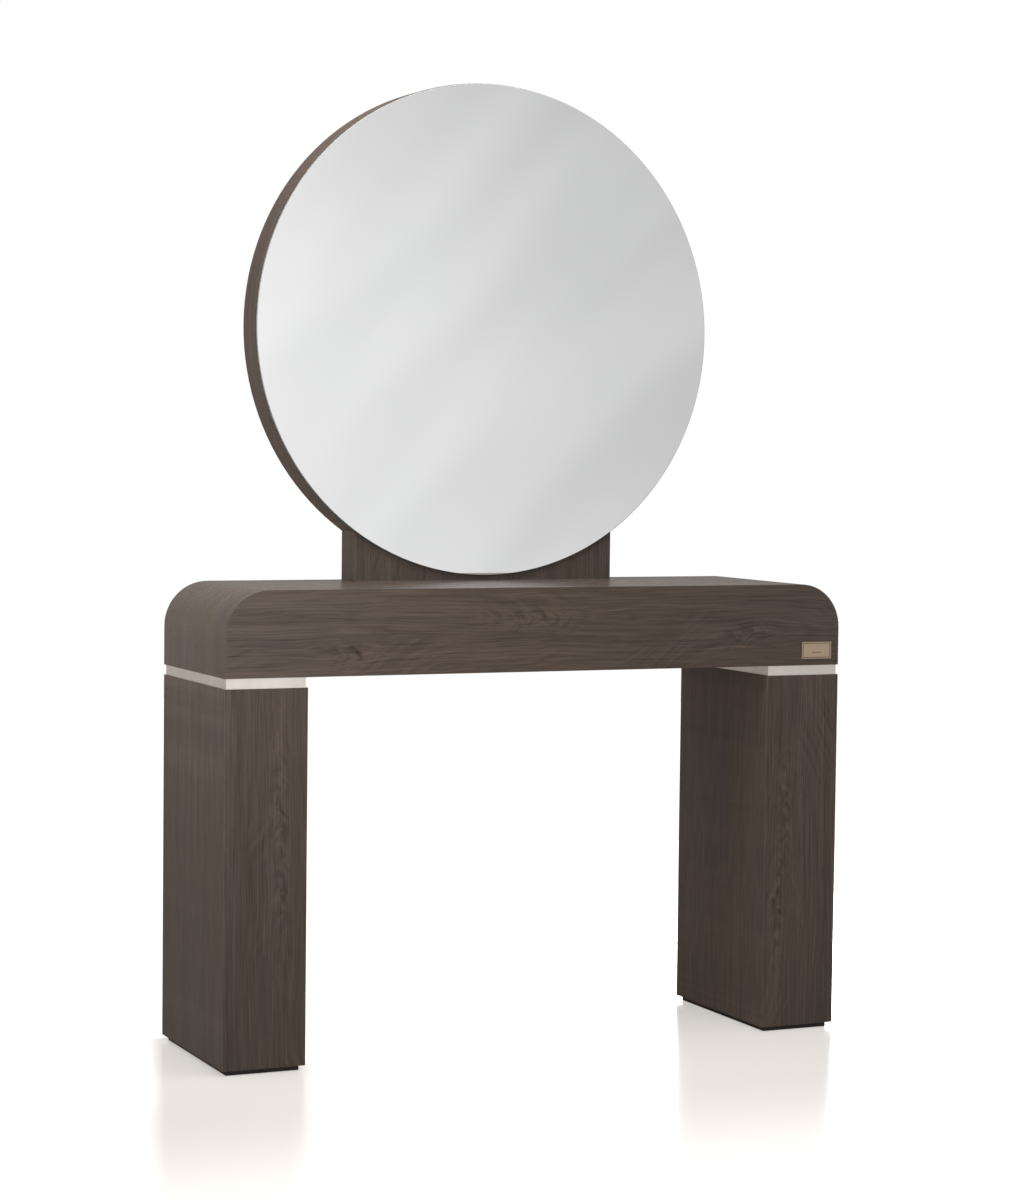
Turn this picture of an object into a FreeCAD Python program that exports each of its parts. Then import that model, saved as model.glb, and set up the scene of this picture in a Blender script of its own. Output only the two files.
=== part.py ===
"""Salon styling station: a console worktop on two box legs, with a round back-lit mirror on a column.

The frame is +X to the viewer's right, +Y to the back, +Z up, with its origin on the floor under the
middle of the console. All sizes are in millimetres. Every driving dimension is a cell of the sheet
"dims"; every place below is a formula over those cells.
"""

import FreeCAD, Part
import math
import os

import Sketcher

Vector = FreeCAD.Vector
Rotation = FreeCAD.Rotation

doc = FreeCAD.newDocument("styling_station")
subparts = []

# ---------------------------------------------------------------- driving dimensions

DIMENSIONS = {
    # console
    "console_width": 1200,
    "console_depth": 340,
    "console_height": 150,
    "corner_radius": 80,
    "wrap_thickness": 1,
    "panel_thickness": 18,
    "rib_inner_offset": 150,
    "rib_outer_offset": 430,
    "rib_window_radius": 22,
    # legs
    "leg_width": 150,
    "leg_height": 654,
    "band_height": 18,
    "band_recess": 3,
    "trim_thickness": 2,
    "plinth_height": 9,
    "plinth_inset": 9,
    # mirror column
    "column_width": 520,
    "column_thickness": 64,
    "column_board": 16,
    "lipping": 4,
    "head_radius": 454,
    "mirror_rise": 462,
    "base_block_height": 35,
    "stile_width": 40,
    "stile_offset": 140,
    "stile_reach": 380,
    # glass
    "glass_radius": 453,
    "glass_thickness": 5,
    "glass_chamfer": 1,
    "tape_thickness": 1,
    "tape_width": 25,
    "tape_length": 600,
    "tape_spacing": 150,
    # light
    "channel_radius": 433,
    "channel_width": 16,
    "channel_depth": 10,
    "channel_wall": 1.5,
    "strip_width": 8,
    "strip_thickness": 1.2,
    "driver_length": 130,
    "driver_height": 40,
    "driver_depth": 26,
    "driver_offset": -10,
    "driver_rise": 124,
    "power_lead_radius": 3,
    "light_lead_radius": 2,
    "lead_clearance": 2,
    "power_lead_offset": 100,
    "light_lead_offset": 103,
    "inlet_lead_slack": 60,
    "driver_lead_turn": 220,
    # service cover
    "cover_width": 230,
    "cover_height": 130,
    "cover_rise": 79,
    "cover_thickness": 1.5,
    "cover_overlap": 15,
    "cover_screw_inset": 7.5,
    # bolts with their inserts
    "bolt_radius": 4,
    "bolt_length": 50,
    "bolt_head_radius": 6.5,
    "bolt_head_height": 8,
    "bolt_socket_radius": 3.5,
    "bolt_socket_depth": 4,
    "bolt_hole_radius": 4.5,
    "insert_radius": 6.4,
    "insert_bore_radius": 4.1,
    "insert_hole_radius": 6.5,
    "leg_insert_length": 14,
    "column_insert_length": 25,
    "leg_bolt_spread": 80,
    "leg_bolt_pitch": 220,
    "column_bolt_inner": 60,
    "column_bolt_outer": 225,
    # wood screws
    "screw_radius": 2,
    "screw_length": 40,
    "screw_head_radius": 4,
    "screw_head_height": 2.5,
    "screw_hole_radius": 2.1,
    "screw_margin": 30,
    "cover_screw_length": 14,
    # levelling feet
    "foot_radius": 15,
    "foot_pad_height": 6,
    "foot_collar_radius": 8,
    "foot_collar_height": 2,
    "foot_stud_radius": 5,
    "foot_stud_length": 50,
    "foot_edge": 1,
    "foot_well_radius": 17,
    "foot_pitch": 240,
    "foot_insert_radius": 8.9,
    "foot_insert_hole_radius": 9,
    "foot_insert_bore_radius": 5.06,
    # appliance inlet
    "inlet_offset": 300,
    "inlet_width": 27,
    "inlet_height": 20,
    "inlet_depth": 24,
    "inlet_flange_width": 34,
    "inlet_flange_height": 27,
    "inlet_flange_thickness": 3,
    "inlet_proud": 1.5,
    "inlet_socket_width": 24,
    "inlet_socket_height": 16,
    "inlet_socket_depth": 17.5,
    "inlet_pin_width": 2,
    "inlet_pin_height": 4,
    "inlet_pin_length": 12,
    "inlet_pin_pitch": 7,
    "inlet_pin_drop": 4,
    "inlet_tab_length": 8,
    # rocker switch
    "switch_offset": 330,
    "switch_front": 60,
    "switch_bezel_width": 21,
    "switch_bezel_depth": 15,
    "switch_bezel_height": 2,
    "switch_body_width": 19,
    "switch_body_depth": 12.8,
    "switch_body_height": 14.5,
    "switch_well_width": 17.6,
    "switch_well_depth": 11.2,
    "switch_well_height": 7,
    "switch_tab_pitch": 14,
    "switch_tab_height": 8,
    "rocker_width": 15.6,
    "rocker_depth": 10.6,
    "rocker_crown": 1.6,
    "rocker_skirt": 4,
    "rocker_valley": 2.5,
    "rocker_tilt": 11,
    "rocker_pin_radius": 1,
    "rocker_pin_hole_radius": 1.05,
    "rocker_pin_length": 12.2,
    # name plate
    "plate_width": 62,
    "plate_height": 31,
    "plate_thickness": 1.5,
    "plate_side_margin": 16,
    "plate_base_margin": 12,
    "plate_border": 2.5,
    "plate_groove": 0.8,
    "plate_groove_depth": 0.5,
}

sheet = doc.addObject("Spreadsheet::Sheet", "dims")
for row, (alias, value) in enumerate(DIMENSIONS.items(), start=1):
    sheet.set(f"A{row}", alias)
    sheet.set(f"B{row}", str(value))
    sheet.setAlias(f"B{row}", alias)
doc.recompute()

# ---------------------------------------------------------------- levels and places, as formulas

LEG_BASE = "dims.plinth_height"
LEG_TOP = "(dims.plinth_height + dims.leg_height)"
CONSOLE_BASE = f"({LEG_TOP} + dims.band_height)"
CONSOLE_FLOOR = f"({CONSOLE_BASE} + dims.panel_thickness)"
WORKTOP = f"({CONSOLE_BASE} + dims.console_height)"
SHELL_INSIDE = f"({WORKTOP} - dims.panel_thickness)"
CONSOLE_MIDDLE = f"({CONSOLE_BASE} + dims.console_height / 2)"
MIRROR_CENTRE = f"({WORKTOP} + dims.mirror_rise)"

WRAP = "dims.wrap_thickness"

BACK = "(dims.console_depth / 2)"
INNER_DEPTH = "(dims.console_depth - 2 * dims.panel_thickness)"
COLUMN_FRONT = f"({BACK} - dims.column_thickness)"
CORE_DEPTH = "(dims.column_thickness - 2 * dims.column_board)"
CORE_MIDDLE = f"({BACK} - dims.column_thickness / 2)"
REAR_BOARD_FRONT = f"({BACK} - dims.column_board)"
CHANNEL_FLOOR = f"({BACK} - dims.channel_depth)"
HEAD_INSIDE = "(dims.head_radius - dims.lipping)"
SUPPORT_INSIDE = "(dims.column_width - 2 * dims.lipping)"

LEG_CENTRE = "((dims.console_width - dims.leg_width) / 2)"
INLET_X = "dims.inlet_offset"
SWITCH_X = "dims.switch_offset"
SWITCH_Y = "(dims.switch_front - dims.console_depth / 2)"
DRIVER_BASE = f"({WORKTOP} + dims.driver_rise)"
DRIVER_MIDDLE = f"({DRIVER_BASE} + dims.driver_height / 2)"
COVER_BASE = f"({WORKTOP} + dims.cover_rise)"
POWER_LEAD_X = "dims.power_lead_offset"
LIGHT_LEAD_X = "(-dims.light_lead_offset)"
ROCKER_LEVEL = f"({CONSOLE_BASE} + dims.switch_bezel_height)"

ALONG = {
    "Z": Rotation(),
    "-Z": Rotation(Vector(1, 0, 0), 180),
    "Y": Rotation(Vector(1, 0, 0), -90),
    "-Y": Rotation(Vector(1, 0, 0), 90),
}


def size(formula):
    """The value in millimetres that a formula over the sheet has now."""
    value = sheet.evalExpression(formula)
    return float(getattr(value, "Value", value))


def point(x, y, z):
    """A point from three formulas."""
    return Vector(size(str(x)), size(str(y)), size(str(z)))


# ---------------------------------------------------------------- building blocks


def bind(thing, **formulas):
    """Ties properties of an object to formulas over the sheet."""
    for name, formula in formulas.items():
        thing.setExpression(name, str(formula))
    return thing


def place(thing, x, y, z, along="Z"):
    """Puts an object at a place given by formulas, with its own Z turned to an axis."""
    thing.Placement = FreeCAD.Placement(Vector(), ALONG[along])
    for axis, formula in zip("xyz", (x, y, z)):
        thing.setExpression(f"Placement.Base.{axis}", str(formula))
    return thing


def box(name, length, width, height, x="0", y="0", z="0"):
    """A block centred on x and y and standing on z, all given as formulas."""
    block = bind(doc.addObject("Part::Box", name), Length=length, Width=width, Height=height)
    return place(block, f"({x}) - ({length}) / 2", f"({y}) - ({width}) / 2", z)


def cylinder(name, radius, height, x="0", y="0", z="0", along="Z"):
    """A cylinder that starts at a point and runs along an axis."""
    return place(bind(doc.addObject("Part::Cylinder", name), Radius=radius, Height=height), x, y, z, along)


def fuse(name, *pieces):
    """One solid from several that touch or overlap."""
    joined = doc.addObject("Part::MultiFuse", name)
    joined.Shapes = list(pieces)
    joined.Refine = True
    return joined


def group(name, pieces):
    """Separate solids that share one object."""
    together = doc.addObject("Part::Compound", name)
    together.Links = list(pieces)
    return together


def cut(name, base, *tools):
    """The base with the tools taken away."""
    result = doc.addObject("Part::Cut", name)
    result.Base = base
    result.Tool = tools[0] if len(tools) == 1 else group(f"{name}_tools", tools)
    return result


def ring(name, outer, inner, height, x="0", y="0", z="0", along="Z"):
    """A flat ring or a tube."""
    return cut(
        name,
        cylinder(f"{name}_outer", outer, height, x, y, z, along),
        cylinder(f"{name}_inner", inner, height, x, y, z, along),
    )


def subpart(thing):
    """Marks a finished piece: it is written under its own label."""
    subparts.append(thing)
    return thing


def new_sketch(body, name, role):
    """A sketch on one of the body's own origin planes."""
    sketch = body.newObject("Sketcher::SketchObject", name)
    plane = next(f for f in body.Origin.OriginFeatures if f.Role == role)
    sketch.AttachmentSupport = (plane, [""])
    sketch.MapMode = "FlatFace"
    return sketch


def drive(sketch, kind, ends, first_value, formula):
    """A dimension between two points or on one curve, tied to a formula."""
    index = sketch.addConstraint(Sketcher.Constraint(kind, *ends, first_value))
    sketch.setExpression(f"Constraints[{index}]", formula)


def draw_polygon(sketch, corners):
    """Straight sides through the corners in turn, closed and joined end to end."""
    for start, end in zip(corners, corners[1:] + corners[:1]):
        sketch.addGeometry(Part.LineSegment(Vector(*start, 0), Vector(*end, 0)))
    for side in range(len(corners)):
        following = (side + 1) % len(corners)
        sketch.addConstraint(Sketcher.Constraint("Coincident", side, 2, following, 1))


def draw_rectangle(sketch, width, height):
    """A rectangle centred on the sketch's vertical axis and standing on its horizontal one."""
    draw_polygon(sketch, [(-10, 0), (10, 0), (10, 10), (-10, 10)])
    for side, direction in ((1, "Vertical"), (2, "Horizontal"), (3, "Vertical")):
        sketch.addConstraint(Sketcher.Constraint(direction, side))
    sketch.addConstraint(Sketcher.Constraint("PointOnObject", 0, 1, -1))
    sketch.addConstraint(Sketcher.Constraint("Symmetric", 0, 1, 0, 2, -2))
    drive(sketch, "DistanceX", (0, 1, 0, 2), 20, width)
    drive(sketch, "DistanceY", (1, 1, 1, 2), 10, height)


def draw_circle(sketch, radius):
    """A circle about the sketch's origin."""
    circle = sketch.addGeometry(Part.Circle(Vector(), Vector(0, 0, 1), 10))
    sketch.addConstraint(Sketcher.Constraint("Coincident", circle, 3, -1, 1))
    drive(sketch, "Radius", (circle,), 10, radius)


def pad(body, sketch, length):
    """Extrudes the sketch; from the XZ plane that is towards -Y."""
    feature = body.newObject("PartDesign::Pad", f"{sketch.Name}_pad")
    feature.Profile = sketch
    feature.setExpression("Length", length)
    sketch.Visibility = False
    doc.recompute()
    return feature


def edges_where(feature, test):
    """The names of a feature's edges that pass a test."""
    return [f"Edge{i}" for i, edge in enumerate(feature.Shape.Edges, start=1) if test(edge)]


def arched_block(name, width, height, depth, radius, y, z):
    """An upright slab whose two upper corners are rounded, with its back face at y and its foot at z."""
    body = doc.addObject("PartDesign::Body", name)
    sketch = new_sketch(body, f"{name}_outline", "XZ_Plane")
    draw_rectangle(sketch, width, height)
    slab = pad(body, sketch, depth)
    top = slab.Shape.BoundBox.ZMax

    def upper_corner(edge):
        ends = [v.Point for v in edge.Vertexes]
        at_top = all(abs(p.z - top) < 1e-6 for p in ends)
        return at_top and abs(ends[0].x - ends[1].x) < 1e-6

    rounding = body.newObject("PartDesign::Fillet", f"{name}_corners")
    rounding.Base = (slab, edges_where(slab, upper_corner))
    rounding.setExpression("Radius", radius)
    body.Tip = rounding
    return place(body, "0", y, z)


def lead(name, radius, corners):
    """A round lead along straight runs, joined by arcs as large as the shorter run of each pair allows."""
    share = 0.45
    edges = []
    start = corners[0]
    for before, corner, after in zip(corners, corners[1:], corners[2:]):
        arriving = (corner - before).normalize()
        leaving = (after - corner).normalize()
        half_turn = arriving.getAngle(leaving) / 2
        setback = share * min((corner - before).Length, (after - corner).Length)
        inside = (leaving - arriving).normalize()
        bend_radius = setback / math.tan(half_turn)
        entry = corner - arriving * setback
        exit_point = corner + leaving * setback
        middle = corner + inside * (bend_radius / math.cos(half_turn) - bend_radius)
        print(f"{name}: bend radius {bend_radius:.1f}")
        edges.append(Part.LineSegment(start, entry).toShape())
        edges.append(Part.Arc(entry, middle, exit_point).toShape())
        start = exit_point
    edges.append(Part.LineSegment(start, corners[-1]).toShape())
    path = Part.Wire(edges)
    section = Part.Wire([Part.Circle(corners[0], corners[1] - corners[0], radius).toShape()])
    tube = doc.addObject("Part::Feature", name)
    tube.Shape = path.makePipeShell([section], True, True)
    ratio = tube.Shape.Volume / (math.pi * radius**2 * path.Length)
    print(f"{name}: length {path.Length:.0f}, volume over section times length {ratio:.4f}")
    return tube


# ---------------------------------------------------------------- fasteners


def bolt(name, x, y, z, along):
    """A cap screw: its shank starts at the point and runs along the axis, its head sits behind it."""
    behind = {"Z": "-Z", "-Z": "Z"}[along]
    sign = 1 if along == "Z" else -1
    shank = cylinder(f"{name}_shank", "dims.bolt_radius", "dims.bolt_length", x, y, z, along)
    head = cylinder(f"{name}_head", "dims.bolt_head_radius", "dims.bolt_head_height", x, y, z, behind)
    socket = doc.addObject("Part::Prism", f"{name}_socket")
    bind(socket, Circumradius="dims.bolt_socket_radius", Height="dims.bolt_socket_depth")
    place(socket, x, y, f"{z} - {sign} * dims.bolt_head_height", along)
    return cut(name, fuse(f"{name}_blank", shank, head), socket)


def screw(name, x, y, z, length):
    """A countersunk screw in a face that looks to +Y, with its head flush with y."""
    shank = cylinder(f"{name}_shank", "dims.screw_radius", length, x, y, z, "-Y")
    head = doc.addObject("Part::Cone", f"{name}_head")
    bind(head, Radius1="dims.screw_head_radius", Radius2="dims.screw_radius")
    bind(head, Height="dims.screw_head_height")
    place(head, x, y, z, "-Y")
    return fuse(name, shank, head)


def screw_hole(name, x, y, z, length):
    """The countersunk hole for that screw, a little longer than it."""
    shank = cylinder(f"{name}_shank", "dims.screw_hole_radius", f"{length} + 1", x, y, z, "-Y")
    gap = "(dims.screw_hole_radius - dims.screw_radius)"
    sink = doc.addObject("Part::Cone", f"{name}_sink")
    bind(sink, Radius1=f"dims.screw_head_radius + {gap}", Radius2="dims.screw_hole_radius")
    bind(sink, Height="dims.screw_head_height")
    place(sink, x, y, z, "-Y")
    return fuse(name, shank, sink)


def threaded_insert(name, radius, bore, height, x, y, z):
    """A plain sleeve that stands for a threaded insert."""
    return ring(name, radius, bore, height, x, y, z)


# ---------------------------------------------------------------- console

RIB_PLACES = [
    "-dims.rib_outer_offset",
    "-dims.rib_inner_offset",
    "dims.rib_inner_offset",
    "dims.rib_outer_offset",
]
BACK_SCREW_LEVELS = [f"({CONSOLE_FLOOR} + dims.screw_margin)", f"({SHELL_INSIDE} - dims.screw_margin)"]
BACK_SCREWS = [(x, z) for x in RIB_PLACES for z in BACK_SCREW_LEVELS]
COLUMN_BOLTS = [
    "-dims.column_bolt_outer",
    "-dims.column_bolt_inner",
    "dims.column_bolt_inner",
    "dims.column_bolt_outer",
]


def console_slab(name, inset, depth, y):
    """A slab with the console's outline, drawn in by an inset at the top and both ends."""
    return arched_block(
        name,
        f"dims.console_width - 2 * {inset}",
        f"dims.console_height - {inset}",
        depth,
        f"dims.corner_radius - {inset}",
        y,
        CONSOLE_BASE,
    )


def make_console_panels():
    """The two upright faces; the back one is screwed on and carries the inlet."""
    panel_front = f"dims.panel_thickness - {BACK}"
    subpart(console_slab("console_front_panel", WRAP, "dims.panel_thickness", panel_front))
    blank = console_slab("back_panel_blank", WRAP, "dims.panel_thickness", BACK)
    holes = [
        screw_hole(f"back_screw_hole_{i}", x, BACK, z, "dims.screw_length")
        for i, (x, z) in enumerate(BACK_SCREWS, start=1)
    ]
    window = box(
        "inlet_window",
        "dims.inlet_width",
        "3 * dims.panel_thickness",
        "dims.inlet_height",
        INLET_X,
        BACK,
        f"{CONSOLE_MIDDLE} - dims.inlet_height / 2",
    )
    recess_depth = "(dims.inlet_flange_thickness - dims.inlet_proud)"
    recess = box(
        "inlet_recess",
        "dims.inlet_flange_width",
        f"2 * {recess_depth}",
        "dims.inlet_flange_height",
        INLET_X,
        BACK,
        f"{CONSOLE_MIDDLE} - dims.inlet_flange_height / 2",
    )
    opening = fuse("inlet_opening", window, recess)
    subpart(cut("console_back_panel", blank, opening, *holes))
    screws = [
        screw(f"back_panel_screw_{i}", x, BACK, z, "dims.screw_length")
        for i, (x, z) in enumerate(BACK_SCREWS, start=1)
    ]
    subpart(group("back_panel_screws", screws))


def make_console_shell():
    """The bent board that forms the worktop and both rounded ends, and the laminate wrapped round it."""
    shell_back = f"{BACK} - dims.panel_thickness"
    outside = console_slab("shell_outside", WRAP, INNER_DEPTH, shell_back)
    inside = console_slab("shell_inside", "dims.panel_thickness", INNER_DEPTH, shell_back)
    holes = [
        cylinder(
            f"shell_bolt_hole_{i}",
            "dims.bolt_hole_radius",
            "dims.panel_thickness",
            x,
            CORE_MIDDLE,
            SHELL_INSIDE,
        )
        for i, x in enumerate(COLUMN_BOLTS, start=1)
    ]
    passage = cylinder(
        "shell_lead_hole",
        "dims.power_lead_radius + dims.lead_clearance",
        "dims.panel_thickness",
        POWER_LEAD_X,
        CORE_MIDDLE,
        SHELL_INSIDE,
    )
    openings = group("worktop_openings", [passage, *holes])
    subpart(cut("console_shell", cut("shell_bend", outside, inside), openings))
    wrap_outside = console_slab("wrap_outside", "0", "dims.console_depth", BACK)
    wrap_inside = console_slab("wrap_inside", WRAP, "dims.console_depth", BACK)
    subpart(cut("console_laminate_wrap", cut("wrap_bend", wrap_outside, wrap_inside), openings))


def make_console_bottom():
    """The board that closes the console from below, with the leg bolts' holes and the switch's window."""
    blank = box(
        "bottom_panel_blank",
        "dims.console_width - 2 * dims.panel_thickness",
        INNER_DEPTH,
        "dims.panel_thickness",
        z=CONSOLE_BASE,
    )
    holes = [
        cylinder(f"floor_hole_{i}", "dims.bolt_hole_radius", "dims.panel_thickness", x, y, CONSOLE_BASE)
        for i, (x, y) in enumerate(LEG_BOLTS, start=1)
    ]
    window = box(
        "switch_window",
        "dims.switch_body_width",
        "dims.switch_body_depth",
        "dims.panel_thickness",
        SWITCH_X,
        SWITCH_Y,
        CONSOLE_BASE,
    )
    subpart(cut("console_bottom_panel", blank, window, *holes))


def make_ribs():
    """Upright ribs between the two faces, each with a round window for the leads."""
    height = "(dims.console_height - 2 * dims.panel_thickness)"
    for number, x in enumerate(RIB_PLACES, start=1):
        name = f"console_rib_{number}"
        blank = box(f"{name}_blank", "dims.panel_thickness", INNER_DEPTH, height, x, "0", CONSOLE_FLOOR)
        window = place(
            bind(
                doc.addObject("Part::Cylinder", f"{name}_window"),
                Radius="dims.rib_window_radius",
                Height="dims.panel_thickness",
            ),
            f"{x} - dims.panel_thickness / 2",
            "0",
            CONSOLE_MIDDLE,
        )
        window.Placement.Rotation = Rotation(Vector(0, 1, 0), 90)
        holes = [
            cylinder(
                f"{name}_pilot_{i}",
                "dims.screw_hole_radius",
                "dims.screw_length + 1",
                x,
                BACK,
                z,
                "-Y",
            )
            for i, z in enumerate(BACK_SCREW_LEVELS, start=1)
        ]
        subpart(cut(name, blank, window, *holes))


def make_name_plate():
    """A plain bordered plate at the lower right of the front face."""
    centre_x = "(dims.console_width / 2 - dims.plate_side_margin - dims.plate_width / 2)"
    base = f"({CONSOLE_BASE} + dims.plate_base_margin)"
    front = f"(-{BACK} - dims.plate_thickness)"
    plate = box(
        "plate_blank",
        "dims.plate_width",
        "dims.plate_thickness",
        "dims.plate_height",
        centre_x,
        f"-{BACK} - dims.plate_thickness / 2",
        base,
    )

    def border(name, inset):
        return box(
            name,
            f"dims.plate_width - 2 * ({inset})",
            "2 * dims.plate_groove_depth",
            f"dims.plate_height - 2 * ({inset})",
            centre_x,
            front,
            f"{base} + {inset}",
        )

    groove = cut(
        "plate_border_groove",
        border("plate_groove_outside", "dims.plate_border"),
        border("plate_groove_inside", "(dims.plate_border + dims.plate_groove)"),
    )
    subpart(cut("name_plate", plate, groove))


# ---------------------------------------------------------------- legs

SIDES = {"left": -1, "right": 1}
LEG_BOLTS = [
    (f"({side} * {LEG_CENTRE} + {i} * dims.leg_bolt_spread / 2)", f"({j} * dims.leg_bolt_pitch / 2)")
    for side in SIDES.values()
    for i in (-1, 1)
    for j in (-1, 1)
]
FEET = {
    f"{end}_{side}": (f"({sign} * {LEG_CENTRE})", f"({turn} * dims.foot_pitch / 2)")
    for side, sign in SIDES.items()
    for end, turn in (("front", -1), ("back", 1))
}


def bolt_places_of(sign):
    """The four bolt places of one leg."""
    return LEG_BOLTS[:4] if sign < 0 else LEG_BOLTS[4:]


def mitred_panel(name, width, x, y, turn):
    """An upright leg panel with mitred edges: its outer face passes through x and y, turned to its side."""
    body = doc.addObject("PartDesign::Body", name)
    sketch = new_sketch(body, f"{name}_section", "XY_Plane")
    corners = [(-10, 0), (10, 0), (8, 2), (-8, 2)]
    draw_polygon(sketch, corners)
    sketch.addConstraint(Sketcher.Constraint("PointOnObject", 0, 1, -1))
    sketch.addConstraint(Sketcher.Constraint("Symmetric", 0, 1, 0, 2, -2))
    sketch.addConstraint(Sketcher.Constraint("Symmetric", 2, 1, 2, 2, -2))
    drive(sketch, "DistanceX", (0, 1, 0, 2), 20, width)
    drive(sketch, "DistanceX", (2, 2, 2, 1), 16, f"{width} - 2 * dims.panel_thickness")
    drive(sketch, "DistanceY", (1, 1, 1, 2), 2, "dims.panel_thickness")
    pad(body, sketch, "dims.leg_height")
    place(body, x, y, LEG_BASE)
    body.Placement.Rotation = Rotation(Vector(0, 0, 1), turn)
    return body


def make_leg_panels(side, sign):
    """The four upright faces of one box leg, mitred where they meet."""
    centre = f"({sign} * {LEG_CENTRE})"
    for face, turn, edge in (("front", 0, -1), ("back", 180, 1)):
        name = f"{side}_leg_{face}_panel"
        subpart(mitred_panel(name, "dims.leg_width", centre, f"{edge} * {BACK}", turn))
    for face, edge in (("outer", sign), ("inner", -sign)):
        name = f"{side}_leg_{face}_panel"
        x = f"{centre} + {edge} * dims.leg_width / 2"
        subpart(mitred_panel(name, "dims.console_depth", x, "0", edge * 90))


def make_leg_boards(side, sign):
    """The top board with its insert holes, the bottom board with the feet's holes, and the plinth."""
    centre = f"({sign} * {LEG_CENTRE})"
    inner_width = "(dims.leg_width - 2 * dims.panel_thickness)"
    feet = [(x, y) for name, (x, y) in FEET.items() if name.endswith(side)]
    top_blank = box(
        f"{side}_top_blank",
        inner_width,
        INNER_DEPTH,
        "dims.panel_thickness",
        centre,
        "0",
        f"{LEG_TOP} - dims.panel_thickness",
    )
    top_holes = [
        cylinder(
            f"{side}_top_hole_{i}",
            "dims.insert_hole_radius",
            "dims.leg_insert_length",
            x,
            y,
            LEG_TOP,
            "-Z",
        )
        for i, (x, y) in enumerate(bolt_places_of(sign), start=1)
    ]
    subpart(cut(f"{side}_leg_top_board", top_blank, *top_holes))
    bottom_blank = box(
        f"{side}_bottom_blank", inner_width, INNER_DEPTH, "dims.panel_thickness", centre, "0", LEG_BASE
    )
    bottom_holes = [
        cylinder(
            f"{side}_bottom_hole_{i}",
            "dims.foot_insert_hole_radius",
            "dims.panel_thickness",
            x,
            y,
            LEG_BASE,
        )
        for i, (x, y) in enumerate(feet, start=1)
    ]
    subpart(cut(f"{side}_leg_bottom_board", bottom_blank, *bottom_holes))
    plinth_blank = box(
        f"{side}_plinth_blank",
        "dims.leg_width - 2 * dims.plinth_inset",
        "dims.console_depth - 2 * dims.plinth_inset",
        "dims.plinth_height",
        centre,
    )
    wells = [
        cylinder(f"{side}_foot_well_{i}", "dims.foot_well_radius", "dims.plinth_height", x, y)
        for i, (x, y) in enumerate(feet, start=1)
    ]
    subpart(cut(f"{side}_leg_plinth", plinth_blank, *wells))


def make_spacer(side, sign):
    """The set-back spacer between console and leg: a wooden core in a band of aluminium."""
    centre = f"({sign} * {LEG_CENTRE})"

    def block(name, inset):
        return box(
            name,
            f"dims.leg_width - 2 * ({inset})",
            f"dims.console_depth - 2 * ({inset})",
            "dims.band_height",
            centre,
            "0",
            LEG_TOP,
        )

    inside = "dims.band_recess + dims.trim_thickness"
    band_outside = block(f"{side}_band_outside", "dims.band_recess")
    subpart(cut(f"{side}_reveal_band", band_outside, block(f"{side}_band_inside", inside)))
    holes = [
        cylinder(f"{side}_core_hole_{i}", "dims.bolt_hole_radius", "dims.band_height", x, y, LEG_TOP)
        for i, (x, y) in enumerate(bolt_places_of(sign), start=1)
    ]
    subpart(cut(f"{side}_spacer_core", block(f"{side}_core_blank", inside), *holes))


def make_leg_fasteners():
    """The bolts that hang the legs under the console, and the inserts that they run into."""
    bolts = [
        bolt(f"leg_bolt_{i}", x, y, CONSOLE_FLOOR, "-Z") for i, (x, y) in enumerate(LEG_BOLTS, start=1)
    ]
    subpart(group("leg_bolts", bolts))
    inserts = [
        threaded_insert(
            f"leg_insert_{i}",
            "dims.insert_radius",
            "dims.insert_bore_radius",
            "dims.leg_insert_length",
            x,
            y,
            f"{LEG_TOP} - dims.leg_insert_length",
        )
        for i, (x, y) in enumerate(LEG_BOLTS, start=1)
    ]
    subpart(group("leg_bolt_inserts", inserts))


def make_feet():
    """Levelling feet, screwed fully in: a round pad, a collar and a threaded stud."""
    for name, (x, y) in FEET.items():
        pad_blank = cylinder(f"pad_{name}", "dims.foot_radius", "dims.foot_pad_height", x, y)
        collar = cylinder(
            f"collar_{name}",
            "dims.foot_collar_radius",
            "dims.foot_collar_height",
            x,
            y,
            "dims.foot_pad_height",
        )
        stud = cylinder(f"stud_{name}", "dims.foot_stud_radius", "dims.foot_stud_length", x, y)
        blank = fuse(f"blank_{name}", pad_blank, collar, stud)
        doc.recompute()
        rim = doc.addObject("Part::Chamfer", f"foot_{name}")
        rim.Base = blank
        edge_size = size("dims.foot_edge")
        pad_radius = size("dims.foot_radius")
        rim.Edges = [
            (i, edge_size, edge_size)
            for i, edge in enumerate(blank.Shape.Edges, start=1)
            if hasattr(edge.Curve, "Radius") and abs(edge.Curve.Radius - pad_radius) < 1e-6
        ]
        subpart(rim)
    inserts = [
        threaded_insert(
            f"foot_insert_{i}",
            "dims.foot_insert_radius",
            "dims.foot_insert_bore_radius",
            "dims.panel_thickness",
            x,
            y,
            LEG_BASE,
        )
        for i, (x, y) in enumerate(FEET.values(), start=1)
    ]
    subpart(group("foot_inserts", inserts))


# ---------------------------------------------------------------- mirror column


def lollipop(name, y, thickness):
    """A board with the column's outline inside its lipping: a round head on a rectangular support."""
    head = cylinder(f"{name}_head", HEAD_INSIDE, thickness, "0", y, MIRROR_CENTRE, "Y")
    support = box(
        f"{name}_support",
        SUPPORT_INSIDE,
        thickness,
        "dims.mirror_rise",
        "0",
        f"{y} + {thickness} / 2",
        WORKTOP,
    )
    return fuse(name, head, support)


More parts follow.
